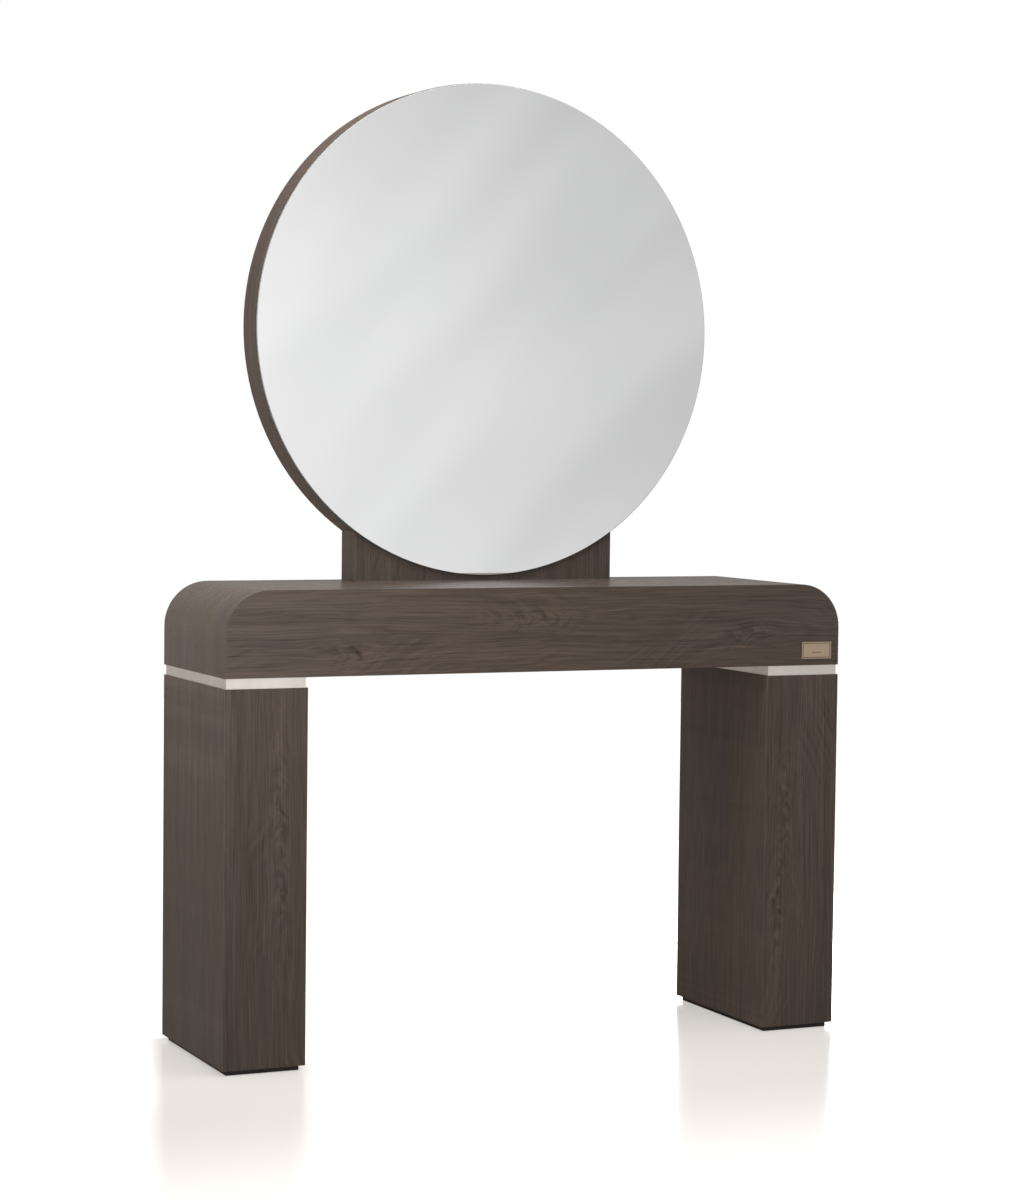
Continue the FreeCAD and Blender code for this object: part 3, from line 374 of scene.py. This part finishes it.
def pass_knots(s, along, flat, knots):
    """The place across the grain as it flows round the knots, and how dark the knots' hearts are."""
    across, heart = flat, 0.0
    for knot_along, knot_across, size in knots:
        from_knot = s.minus(along, knot_along)
        side = s.minus(flat, knot_across)
        near = s.hill(from_knot, side, *(reach * size for reach in KNOT_BENDS))
        across = s.minus(across, s.product(side, near, KNOT_TURNS_GRAIN))
        core = s.hill(from_knot, side, *(reach * size for reach in KNOT_HEART))
        heart = s.total(heart, s.product(core, KNOT_DARKENS))
    return across, heart


def rounded_side(s, side, radius):
    """The distance to one side of a line, with a round turn at the line instead of a kink."""
    return s.math("SQRT", s.total(s.product(side, side), radius**2))


def strong_arches(s, along, across, arch, seed):
    """A patch of nested arches, as where a saw cuts across the growth rings."""
    arch_along, arch_across, length, width = arch
    from_middle = s.minus(along, arch_along)
    side = s.minus(across, arch_across)
    wander = s.noise(s.combine(s.product(along, STRONG_ARCH_WANDER_SCALE), seed, 0.0), 1.0, 1.0)
    side = s.total(side, s.swing(wander, STRONG_ARCH_WANDER))
    ring = s.total(from_middle, s.product(rounded_side(s, side, STRONG_ARCH_TIP), STRONG_ARCH_SLANT))
    place = s.combine(s.product(ring, STRONG_RINGS_ALONG), s.product(side, STRONG_RINGS_ACROSS), seed)
    rings = s.noise(place, 1.0, 3.0, 0.6)
    return s.product(s.swing(rings, STRONG_ARCH_SWING), s.hill(from_middle, side, length, width))


def faint_arches(s, along, across, seed):
    """Faint arches about a line that wanders along the whole board."""
    wander = s.noise(s.combine(s.product(along, FAINT_ARCH_WANDER_SCALE), seed, 3.0), 1.0, 1.0)
    offset = s.minus(across, s.swing(wander, FAINT_ARCH_WANDER))
    ring = s.total(along, s.product(rounded_side(s, offset, FAINT_ARCH_TIP), FAINT_ARCH_SLANT))
    place = s.combine(s.product(ring, FAINT_RINGS_ALONG), s.product(offset, FAINT_RINGS_ACROSS), seed)
    rings = s.noise(place, 1.0, 2.0)
    place = s.combine(s.product(along, PATCH_ALONG), s.product(across, PATCH_ACROSS), seed + 5)
    patch = s.noise(place, 1.0, 1.0)
    return s.product(s.swing(rings, FAINT_ARCH_SWING), s.remap(patch, *PATCH_SHOWS))


def laminate(
    name,
    grain,
    seed,
    centre=(0.0, 0.0, 0.0),
    tone=1.0,
    follow=None,
    polish=0.40,
    knots=(),
    arches=(),
    relief=0.25,
    contrast=1.0,
):
    """Dark laminate whose grain runs along an axis, with its figure centred on a point of the frame.

    Knots are (along, across, size) and arches (along, across, length, width), in metres from that point.
    A bent sheet has a function to follow instead of a centre, which gives the place on the flat sheet.
    """
    s = Shader(name)
    x, y, z = s.split(follow(s) if follow else s.place_from(centre))
    along, flat, depth = {"X": (x, z, y), "Y": (y, x, z), "Z": (z, x, y)}[grain]

    across, heart = pass_knots(s, along, flat, knots)
    place = s.combine(s.product(along, GRAIN_DRIFT_ALONG), s.product(across, GRAIN_DRIFT_ACROSS), seed)
    drift = s.noise(place, 1.0, 2.0)
    across = s.total(across, s.swing(drift, GRAIN_DRIFT))
    board = s.add(s.combine(along, across, depth), tuple(seed * step for step in SEED_STEPS))
    hair = streaks(s, board, *HAIR_LINES)
    fine = streaks(s, board, *FINE_LINES)
    bands = streaks(s, board, *BANDS)
    broad = streaks(s, board, *BROAD_BANDS)
    pores = streaks(s, board, *PORES)

    figure = faint_arches(s, along, flat, seed)
    for arch in arches:
        figure = s.total(figure, strong_arches(s, along, flat, arch, seed))

    light = s.total(
        1.0,
        s.swing(hair, HAIR_SWING * contrast),
        s.swing(fine, FINE_SWING * contrast),
        s.swing(bands, BAND_SWING * contrast),
        s.swing(broad, BROAD_SWING),
        s.remap(pores, *PORES_SHOW, 0.0, -PORES_DARKEN * contrast),
        figure,
    )
    light = s.minus(light, heart)

    # the hue drifts between warm and cool, and a painted highlight makes the edges pale
    base = shade(WOOD_BASE, tone)
    hue = s.noise(s.add(s.scale(board, HUE_BANDS), HUE_OFFSET), 1.0, 2.0, 0.5)
    body = s.mix(s.remap(hue, *HUE_RANGE), tinted(base, WARM_FACTORS), tinted(base, COOL_FACTORS))
    edge_highlight = s.product(s.edges(EDGE_HIGHLIGHT_RADIUS), EDGE_HIGHLIGHT_AMOUNT)
    body = s.mix(edge_highlight, s.times(body, light), shade(base, EDGE_HIGHLIGHT_FACTOR))

    height = s.total(s.product(hair, HAIR_RELIEF), s.product(fine, FINE_RELIEF))
    return s.surface(
        Base_Color=body,
        Roughness=s.total(polish, s.product(s.stretch(fine), LAMINATE_EXTRA_ROUGHNESS)),
        Specular_IOR_Level=LAMINATE_SPECULAR,
        Normal=s.bump(height, relief, LAMINATE_RELIEF_DEPTH),
    )


FASCIA_KNOTS = (
    (-0.36, -0.035, 0.016),
    (-0.43, -0.028, 0.009),
    (0.44, -0.015, 0.014),
    (0.17, 0.02, 0.008),
)
FASCIA_ARCHES = (
    (-0.37, -0.04, 0.07, 0.03),
    (0.40, -0.02, 0.06, 0.03),
    (-0.02, 0.02, 0.12, 0.03),
)

# Leg panels that differ from the rest, by arches that the photograph shows or by their tone. The tone is
# painted light and shade: the right leg's inner face is made brighter and the left leg's front darker.
LEG_PANEL_SETTINGS = {
    "left_leg_front_panel": {"tone": 0.92, "arches": ((0.13, 0.024, 0.12, 0.022), (-0.02, 0.03, 0.10, 0.02))},
    "right_leg_inner_panel": {"tone": 1.20},
    "right_leg_front_panel": {"arches": ((-0.10, -0.045, 0.16, 0.02), (0.10, -0.03, 0.12, 0.02))},
}


def paint_console():
    middle = WORKTOP - PANEL_HALF_HEIGHT
    fascia = laminate(
        "laminate_front",
        "X",
        1.0,
        (0.0, CONSOLE_FRONT, middle),
        knots=FASCIA_KNOTS,
        arches=FASCIA_ARCHES,
    )
    paint(fascia, "console_front_panel")
    paint(laminate("laminate_back", "X", 4.0, (0.0, -CONSOLE_FRONT, middle)), "console_back_panel")
    wrap = laminate(
        "laminate_wrap", "X", 2.6, tone=0.85, follow=wrap_coordinates, polish=0.22, relief=0.03, contrast=0.6
    )
    paint(wrap, "console_laminate_wrap")


def paint_legs():
    """One laminate for each face, so that no two panels share their figure."""
    seed = FIRST_LEG_SEED
    for side in SIDES:
        for face in ("front", "back", "outer", "inner"):
            name = f"{side}_leg_{face}_panel"
            low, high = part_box(name)
            middle = (low + high) / 2
            panel = laminate(f"laminate_{name}", "Z", seed, middle, **LEG_PANEL_SETTINGS.get(name, {}))
            paint(panel, name)
            seed += LEG_SEED_STEP


def paint_mirror_body():
    # Painted shade: the column's front board and its strips are made darker than the rest of the laminate, to
    # stand in for the shade they sit in under the mirror head.
    paint(laminate("laminate_column_front", "Z", 17.0, MIRROR_CENTRE, tone=0.80), "mirror_front_board")
    paint(laminate("laminate_column_back", "Z", 19.0, MIRROR_CENTRE), "mirror_rear_board")
    strips = laminate("laminate_strips", "Z", 21.0, MIRROR_CENTRE, tone=0.76)
    paint(strips, "column_left_strip", "column_right_strip")
    rim = laminate("laminate_rim", "X", 23.0, tone=1.12, follow=rim_coordinates, polish=0.50, relief=0.08)
    paint(rim, "mirror_rim_band")


# ---------------------------------------------------------------- metals, glass, plastics


def brushed_metal(name, tint, streak, roughness=0.32, contrast=0.10, metallic=1.0):
    """Metal brushed along one axis: the streak vector has a small number along the brushing."""
    s = Shader(name)
    lines = s.noise(s.scale(s.place(), streak), 1.0, 3.0, 0.7)
    cloud = s.noise(s.place(), 14.0, 2.0)
    base = colour(*tint)
    tone = s.mix(s.remap(lines, 0.25, 0.75), shade(base, 1 - contrast), shade(base, 1 + contrast))
    rough = s.total(roughness, s.sway(cloud, 0.10), s.sway(lines, 0.12))
    return s.surface(Base_Color=tone, Metallic=metallic, Roughness=rough, Normal=s.bump(lines, 0.12, 0.0002))


PLATE_BORDER = 0.0024
PLATE_GROOVE = 0.0006
PLATE_RULE_DROP = 0.0035
PLATE_RULE_HALF = 0.009


def engraved_plate():
    """A blank bronze-coloured plate with an engraved border and one engraved rule."""
    s = Shader(brushed_metal("plate_metal", (208, 186, 160), (6.0, 6.0, 1400.0), 0.36, 0.08))
    low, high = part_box("name_plate")
    x, y, z = s.split(s.place_from((low + high) / 2))
    from_side = s.minus((high.x - low.x) / 2, s.absolute(x))
    from_top = s.minus((high.z - low.z) / 2, s.absolute(z))
    from_edge = s.math("MINIMUM", from_side, from_top)
    border = s.absolute(s.minus(from_edge, PLATE_BORDER))
    rule = s.absolute(s.total(z, PLATE_RULE_DROP))
    rule = s.math("MAXIMUM", rule, s.minus(s.absolute(x), PLATE_RULE_HALF))
    nearest = s.math("MINIMUM", border, rule)
    groove = s.remap(nearest, PLATE_GROOVE * 0.5, PLATE_GROOVE * 1.3, 1.0, 0.0)
    plain = s.bsdf.inputs["Base Color"].links[0].from_socket
    return s.surface(Base_Color=s.mix(groove, plain, colour(92, 74, 62)))


def moulded(name, tint, roughness=0.45, grain=900.0):
    """Moulded plastic with a fine spark-eroded grain, and edges made slightly paler by a painted highlight.
    """
    s = Shader(name)
    pebble = s.noise(s.place(), grain, 2.0)
    cloud = s.noise(s.place(), 30.0, 2.0)
    base = colour(*tint)
    tone = s.mix(s.stretch(cloud), shade(base, 0.92), shade(base, 1.08))
    # painted highlight: the edges are made paler in the colour
    tone = s.mix(s.product(s.edges(0.0004), 0.25), tone, shade(base, 1.6, 0.02))
    rough = s.total(roughness, s.sway(pebble, 0.2))
    return s.surface(Base_Color=tone, Roughness=rough, Normal=s.bump(pebble, 0.15, 0.0001))


def fibreboard(name):
    """Raw fibreboard with pressed flecks."""
    s = Shader(name)
    fleck = s.noise(s.place(), 420.0, 3.0, 0.7)
    cloud = s.noise(s.place(), 12.0, 3.0)
    tone = s.mix(s.stretch(fleck), colour(150, 118, 84), colour(190, 156, 116))
    tone = s.mix(s.product(s.stretch(cloud), 0.3), tone, colour(160, 130, 96))
    return s.surface(Base_Color=tone, Roughness=0.85, Normal=s.bump(fleck, 0.4, 0.0004))


SILVER_DARK = (0.875, 0.88, 0.88, 1.0)
SILVER_LIGHT = (0.89, 0.89, 0.89, 1.0)
SILVER_ROUGHNESS = 0.012
GROUND_ROUGHNESS = 0.45
# How squarely a surface faces the front or back where the ground edge ends and the silvered face starts.
SILVERED_FACE = (0.90, 0.98)


def mirror_silver():
    """Silvered glass: a clean reflection on the face, and a grey ground edge."""
    s = Shader("mirror_silver")
    veil = s.noise(s.scale(s.place(), (3.0, 1.0, 3.0)), 1.0, 2.0)
    grit = s.noise(s.place(), 600.0, 2.0)
    silver = s.mix(s.stretch(veil), SILVER_DARK, SILVER_LIGHT)
    ground = s.mix(s.stretch(grit), colour(120, 124, 121), colour(142, 146, 143))
    face = s.remap(s.absolute(s.split(s.normal())[1]), *SILVERED_FACE)
    return s.surface(
        Base_Color=s.mix(face, ground, silver),
        Metallic=face,
        Roughness=s.remap(face, 0.0, 1.0, GROUND_ROUGHNESS, SILVER_ROUGHNESS),
    )


LED_COUNT = 160
BETWEEN_LEDS = 0.9


def glowing(name, tint, strength):
    """An opal diffuser lit from behind, with the faint dots of the diodes."""
    s = Shader(name)
    x, y, z = s.split(s.place_from(MIRROR_CENTRE))
    dots = s.math("SINE", s.product(s.math("ARCTAN2", z, x), float(LED_COUNT)))
    return s.surface(
        Base_Color=colour(245, 240, 228),
        Roughness=0.5,
        Emission_Color=colour(*tint),
        Emission_Strength=s.remap(dots, -1.0, 1.0, BETWEEN_LEDS * strength, strength),
    )


def paint_metals():
    band = brushed_metal("reveal_aluminium", (250, 241, 233), (22.0, 22.0, 2.0), 0.32, 0.05, metallic=0.90)
    paint(band, "left_reveal_band", "right_reveal_band")
    paint(engraved_plate(), "name_plate")
    paint(brushed_metal("channel_metal", (205, 205, 208), (200.0, 2.0, 200.0), 0.40), "led_channel")
    steel = brushed_metal("zinc_steel", (190, 192, 196), (300.0, 300.0, 300.0), 0.35)
    hardware = ["back_panel_screws", "leg_bolts", "leg_bolt_inserts", "foot_inserts"]
    hardware += ["column_bolts", "column_bolt_inserts", "service_cover_screws"]
    paint(steel, *hardware)


def paint_boards():
    boards = ["console_shell", "console_bottom_panel", "column_base_block"]
    boards += ["column_left_stile", "column_right_stile"]
    boards += [f"console_rib_{i}" for i in range(1, 5)]
    for side in SIDES:
        boards += [f"{side}_leg_top_board", f"{side}_leg_bottom_board", f"{side}_spacer_core"]
    paint(fibreboard("raw_board"), *boards)


def paint_the_rest():
    """The glass, the light and the plastic parts."""
    paint(moulded("plinth_dark", (44, 36, 32), 0.6, 300.0), "left_leg_plinth", "right_leg_plinth")
    feet = [n for n in nodes if n.startswith("foot_") and n != "foot_inserts"]
    paint(moulded("foot_plastic", (30, 29, 28), 0.5), *feet)
    paint(mirror_silver(), "mirror_glass")
    paint(moulded("foam_tape", (226, 225, 220), 0.9, 1500.0), "mirror_mounting_tape")
    paint(moulded("cover_coat", (52, 47, 44), 0.45, 1100.0), "service_cover")
    paint(moulded("driver_plastic", (226, 225, 222), 0.5), "led_driver")
    paint(moulded("led_board", (240, 236, 222), 0.6), "led_strip")
    paint(glowing("led_glow", (255, 226, 186), 1.0), "led_diffuser")
    paint(moulded("lead_rubber", (32, 32, 32), 0.6), "light_lead", "inlet_lead", "driver_lead")
    paint(moulded("black_plastic", (24, 24, 25), 0.35), "power_inlet", "switch_housing", "switch_rocker")


# ---------------------------------------------------------------- small added pieces

CROSS_REACH = 0.0019
CROSS_HALF = 0.00055
CROSS_PROUD = 0.00012
CROSS_SUNK = 0.0004
CROSS_TAPER = 0.8
WELD_DISTANCE = 1e-6


def loose_parts(name):
    """The boxes of a CAD node's separate lumps, as pairs of lowest and highest corners."""
    shape = bmesh.new()
    shape.from_mesh(nodes[name].data)
    bmesh.ops.remove_doubles(shape, verts=shape.verts, dist=WELD_DISTANCE)
    found = []
    for first in shape.verts:
        if first.tag:
            continue
        first.tag = True
        lump = [first]
        for vert in lump:
            for link in vert.link_edges:
                other = link.other_vert(vert)
                if not other.tag:
                    other.tag = True
                    lump.append(other)
        corners = list(zip(*(v.co for v in lump)))
        found.append((Vector(map(min, corners)), Vector(map(max, corners))))
    shape.free()
    return found


def cross_outline(reach, half):
    """The twelve corners of a plus sign."""
    quarter = [(reach, -half), (reach, half), (half, half)]
    turned = []
    for quarters in range(4):
        turn = Matrix.Rotation(quarters * math.pi / 2, 2)
        turned += [turn @ Vector(corner) for corner in quarter]
    return turned


def screw_turn(middle):
    """The angle that a screw was driven to: its own, worked out from its place."""
    return math.radians(37 * round(middle.x * 40) + 11 * round(middle.z * 90))


def add_cross(shape, low, high):
    """Adds one screw's cross to a mesh, just proud of the screw's head and narrower inside it: a dark solid
    that paints the shade of the recess.
    """
    middle = (low + high) / 2
    turn = Matrix.Rotation(screw_turn(middle), 2)
    outline = [turn @ corner for corner in cross_outline(CROSS_REACH, CROSS_HALF)]

    def rim(y, shrink):
        return [shape.verts.new((middle.x + c.x * shrink, y, middle.z + c.y * shrink)) for c in outline]

    outside = rim(high.y + CROSS_PROUD, 1.0)
    inside = rim(high.y - CROSS_SUNK, CROSS_TAPER)
    shape.faces.new(outside)
    shape.faces.new(reversed(inside))
    for i in range(len(outline)):
        j = (i + 1) % len(outline)
        shape.faces.new((outside[j], outside[i], inside[i], inside[j]))


def add_screw_crosses(name, host):
    """Dark plus signs on the heads of the screws that show at the back: painted shade in place of their cross
    recesses.
    """
    shape = bmesh.new()
    for low, high in loose_parts(host):
        add_cross(shape, low, high)
    bmesh.ops.recalc_face_normals(shape, faces=shape.faces)
    mesh = bpy.data.meshes.new(name)
    shape.to_mesh(mesh)
    shape.free()
    piece = bpy.data.objects.new(name, mesh)
    scene.collection.objects.link(piece)
    piece.data.materials.append(moulded("painted_recess_shade", (26, 25, 24), 0.55, 1500.0))
    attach(piece, STATION)


# ---------------------------------------------------------------- camera

CAMERA_PLACE = (-2.1750, -4.8145, 1.0843)
CAMERA_YAW = 24.369
CAMERA_PITCH = 3.089
CAMERA_ROLL = 0.672
CAMERA_LENS = 86.770
CAMERA_SENSOR = 36
CAMERA_SEES_TO = 200


def make_camera():
    yaw, pitch, roll = (math.radians(a) for a in (CAMERA_YAW, CAMERA_PITCH, CAMERA_ROLL))
    forward = Vector((math.sin(yaw) * math.cos(pitch), math.cos(yaw) * math.cos(pitch), -math.sin(pitch)))
    right = Vector((math.cos(yaw), -math.sin(yaw), 0))
    up = right.cross(forward)
    turned_right = right * math.cos(roll) + up * math.sin(roll)
    turned_up = up * math.cos(roll) - right * math.sin(roll)
    data = bpy.data.cameras.new("photo_camera")
    data.lens = CAMERA_LENS
    data.sensor_width = CAMERA_SENSOR
    data.clip_end = CAMERA_SEES_TO
    camera = bpy.data.objects.new("photo_camera", data)
    turn = Matrix((turned_right, turned_up, -forward)).transposed().to_4x4()
    camera.matrix_world = Matrix.Translation(CAMERA_PLACE) @ turn
    scene.collection.objects.link(camera)
    scene.camera = camera


# ---------------------------------------------------------------- floor

FLOOR_RADIUS = 7.0
FLOOR_SIDES = 96
FLOOR_DARK = (0.50, 0.475, 0.45, 1.0)
FLOOR_LIGHT = (0.52, 0.495, 0.47, 1.0)
FLOOR_ROUGHNESS = 0.16
FLOOR_SPECULAR = 0.9

# The floor glows for the camera alone: least at the legs, where the floor's own reflection of them shows, and
# white further away. The dimmed patches at the legs are painted reflections, shaped and leaning as seen from
# one viewpoint.
GLOW_TINT = (1, 0.965, 0.935, 1)
GLOW_IN_PAINTED_REFLECTIONS = 0.37
GLOW_AWAY = 0.90
GLOW_REACH = 0.45

# Each leg's painted reflection, a patch where the glow is dimmed: its middle, how far its left and right
# sides lean to the left for each metre nearer to the viewer, how far on the way to white it starts, and where
# in front it fades further.
PAINTED_REFLECTIONS = (
    {"centre": LEG_CENTRE, "left_lean": 0.305, "right_lean": 0.335, "start": 0.11, "fade": (0.25, 0.95)},
    {"centre": -LEG_CENTRE, "left_lean": 0.60, "right_lean": 0.56, "start": 0.12, "fade": (0.35, 1.0)},
)
PAINTED_REFLECTION_END = 0.30
# How steeply a painted reflection turns white: sideways near the legs, sideways further out, and behind the
# legs.
SIDE_STEEP = 11.0
SIDE_GENTLE = 6.0
SIDE_GENTLE_FROM = 0.30
BEHIND_STEEP = 12.0


def away_from_painted_reflections(s, x, y):
    """0 at the legs, and larger to the sides of their painted reflections, behind them and far in front."""
    half_depth = -CONSOLE_FRONT
    in_front = s.positive(s.minus(-half_depth, y))
    at_back = s.positive(s.minus(y, half_depth))
    before_back = s.positive(s.minus(half_depth, y))
    behind_legs = s.product(at_back, BEHIND_STEEP)
    steepness = s.remap(in_front, 0.0, SIDE_GENTLE_FROM, SIDE_STEEP, SIDE_GENTLE)
    away = []
    for leg in PAINTED_REFLECTIONS:
        left = s.minus(leg["centre"] - LEG_HALF_WIDTH, s.product(before_back, leg["left_lean"]))
        right = s.minus(leg["centre"] + LEG_HALF_WIDTH, s.product(in_front, leg["right_lean"]))
        beside = s.math("MAXIMUM", s.minus(left, x), s.minus(x, right))
        sideways = s.product(s.positive(beside), steepness)
        lengthwise = s.total(behind_legs, s.remap(in_front, *leg["fade"], leg["start"], PAINTED_REFLECTION_END))
        away.append(s.length(sideways, lengthwise))
    return s.math("MINIMUM", *away)


def floor_material():
    s = Shader("studio_floor")
    place = s.place()
    x, y, z = s.split(place)
    haze = s.noise(place, 3.0, 2.0)
    # the glow, dimmed in the painted reflections of the legs
    white = s.remap(away_from_painted_reflections(s, x, y), 0.0, GLOW_REACH, GLOW_IN_PAINTED_REFLECTIONS, GLOW_AWAY)
    return s.surface(
        Base_Color=s.mix(haze, FLOOR_DARK, FLOOR_LIGHT),
        Roughness=FLOOR_ROUGHNESS,
        Specular_IOR_Level=FLOOR_SPECULAR,
        Emission_Color=GLOW_TINT,
        Emission_Strength=s.product(white, s.seen_by_camera()),
    )


def make_floor():
    """A pale glossy studio floor, round so that no corner shows."""
    mesh = bpy.data.meshes.new("studio_floor")
    turns = [2 * math.pi * i / FLOOR_SIDES for i in range(FLOOR_SIDES)]
    rim = [(FLOOR_RADIUS * math.cos(t), FLOOR_RADIUS * math.sin(t), 0) for t in turns]
    mesh.from_pydata(rim, [], [tuple(range(FLOOR_SIDES))])
    mesh.materials.append(floor_material())
    floor = bpy.data.objects.new("studio_floor", mesh)
    scene.collection.objects.link(floor)


# ---------------------------------------------------------------- lights


def make_light(name, place, target, size, watts, spread=180):
    """A soft rectangle of light at a place, turned to a target. Its spread is in degrees."""
    data = bpy.data.lights.new(name, "AREA")
    data.shape = "RECTANGLE"
    data.size, data.size_y = size
    data.energy = watts
    data.spread = math.radians(spread)
    light = bpy.data.objects.new(name, data)
    light.location = place
    light.rotation_euler = (Vector(target) - Vector(place)).to_track_quat("-Z", "Y").to_euler()
    light.visible_camera = False
    scene.collection.objects.link(light)


def make_lights():
    """A large softbox overhead does most. The others lift one side each.

    They stay out of what the mirror reflects to the photograph's camera, and the back light stays below the
    worktop, so that it doesn't glare in it.
    """
    make_light("key", (-1.3, -1.7, 2.5), (-0.3, 0, 0.7), size=(1.0, 1.0), watts=7)
    make_light("fill", (-0.85, -1.0, 1.20), (-0.6, -0.15, 0.74), size=(0.5, 0.5), watts=0.75, spread=65)
    make_light("front", (-0.5, -2.6, 1.2), (0.2, 0, 0.5), size=(0.8, 0.8), watts=8)
    make_light("overhead", (-0.2, -0.5, 2.6), (0, 0, 0.5), size=(2.0, 1.2), watts=51)
    make_light("back", (1.4, 2.4, 0.42), (0.1, 0.1, 0.8), size=(1.6, 0.5), watts=20)
    make_light("end", (-1.35, 0.1, 0.95), (-0.6, 0.05, 0.90), size=(0.5, 0.5), watts=2.9, spread=130)


# ---------------------------------------------------------------- world

# Brightness of the studio that light and reflections see, and where it changes. Places are parts of a
# direction of length 1: x to the right, y to the back, z up.
FRONT_DIM = 0.64
FRONT_EXTRA = 0.36
BRIGHTENS = (-0.10, 0.25)
DIMS_AGAIN = (0.28, 0.50)
FRONT_UPPER = 0.34
UPPER_STARTS = (0.02, 0.35)
BACK_LEFT = 0.37
BACK_RIGHT = 0.39
CEILING = 0.07
CEILING_STARTS = (0.60, 0.80)
BEHIND = (-0.10, 0.20)
BACK_CHANGES = (-0.35, 0.0)
CLOUD_SWING = 0.035
# The streaks' direction, to the right and up, and the scale of their noise along and across it.
CLOUD_DIRECTION = (0.6, 0.8)
CLOUD_ALONG = 9.0
CLOUD_ACROSS = 36.0
BACK_TINT = (1, 0.94, 0.89, 1)


def diagonal_cloud(s, x, z):
    """Soft diagonal streaks, as of light through a diffusing screen."""
    right, up = CLOUD_DIRECTION
    diagonal = s.total(s.product(x, right), s.product(z, up))
    crosswise = s.minus(s.product(x, up), s.product(z, right))
    drawn_out = s.combine(s.product(diagonal, CLOUD_ALONG), s.product(crosswise, CLOUD_ACROSS), 0.0)
    return s.swing(s.noise(drawn_out, 1.0, 1.0, 0.4), CLOUD_SWING)


def studio_level(s, x, z, behind):
    """How bright the studio is in a direction: in front, brightest a little right of the middle."""
    rise = s.remap(x, *BRIGHTENS, 0.0, FRONT_EXTRA)
    fall = s.remap(x, *DIMS_AGAIN, 0.0, FRONT_EXTRA)
    lower = s.total(s.minus(s.total(FRONT_DIM, rise), fall), diagonal_cloud(s, x, z))
    upper = s.remap(z, *UPPER_STARTS, 0.0, FRONT_UPPER)
    front = s.total(s.product(lower, s.remap(z, *UPPER_STARTS, 1.0, 0.0)), upper)
    back = s.remap(x, *BACK_CHANGES, BACK_LEFT, BACK_RIGHT)
    walls = s.total(s.product(behind, back), s.product(s.minus(1.0, behind), front))
    ceiling = s.remap(z, *CEILING_STARTS, 0.0, CEILING)
    return s.total(s.product(walls, s.remap(z, *CEILING_STARTS, 1.0, 0.0)), ceiling)


def make_world():
    """A white backdrop to the camera, and a soft grey studio all round for light and reflections."""
    world = bpy.data.worlds.new("studio")
    world.use_nodes = True
    scene.world = world
    s = Nodes(world.node_tree)
    x, y, z = s.split(s.node("ShaderNodeTexCoord").outputs["Generated"])
    behind = s.remap(y, *BEHIND)
    seen = s.seen_by_camera()
    unseen_behind = s.product(behind, s.minus(1.0, seen))
    background = s.tree.nodes["Background"]
    s.feed(background.inputs["Color"], s.mix(unseen_behind, WHITE, BACK_TINT))
    s.feed(background.inputs["Strength"], s.math("MAXIMUM", studio_level(s, x, z, behind), seen))


def set_view():
    scene.view_settings.view_transform = "Standard"
    scene.view_settings.look = "None"


paint_console()
paint_legs()
paint_mirror_body()
paint_metals()
paint_boards()
paint_the_rest()
add_screw_crosses("back_screw_crosses", "back_panel_screws")
add_screw_crosses("cover_screw_crosses", "service_cover_screws")
make_camera()
make_floor()
make_lights()
make_world()
set_view()
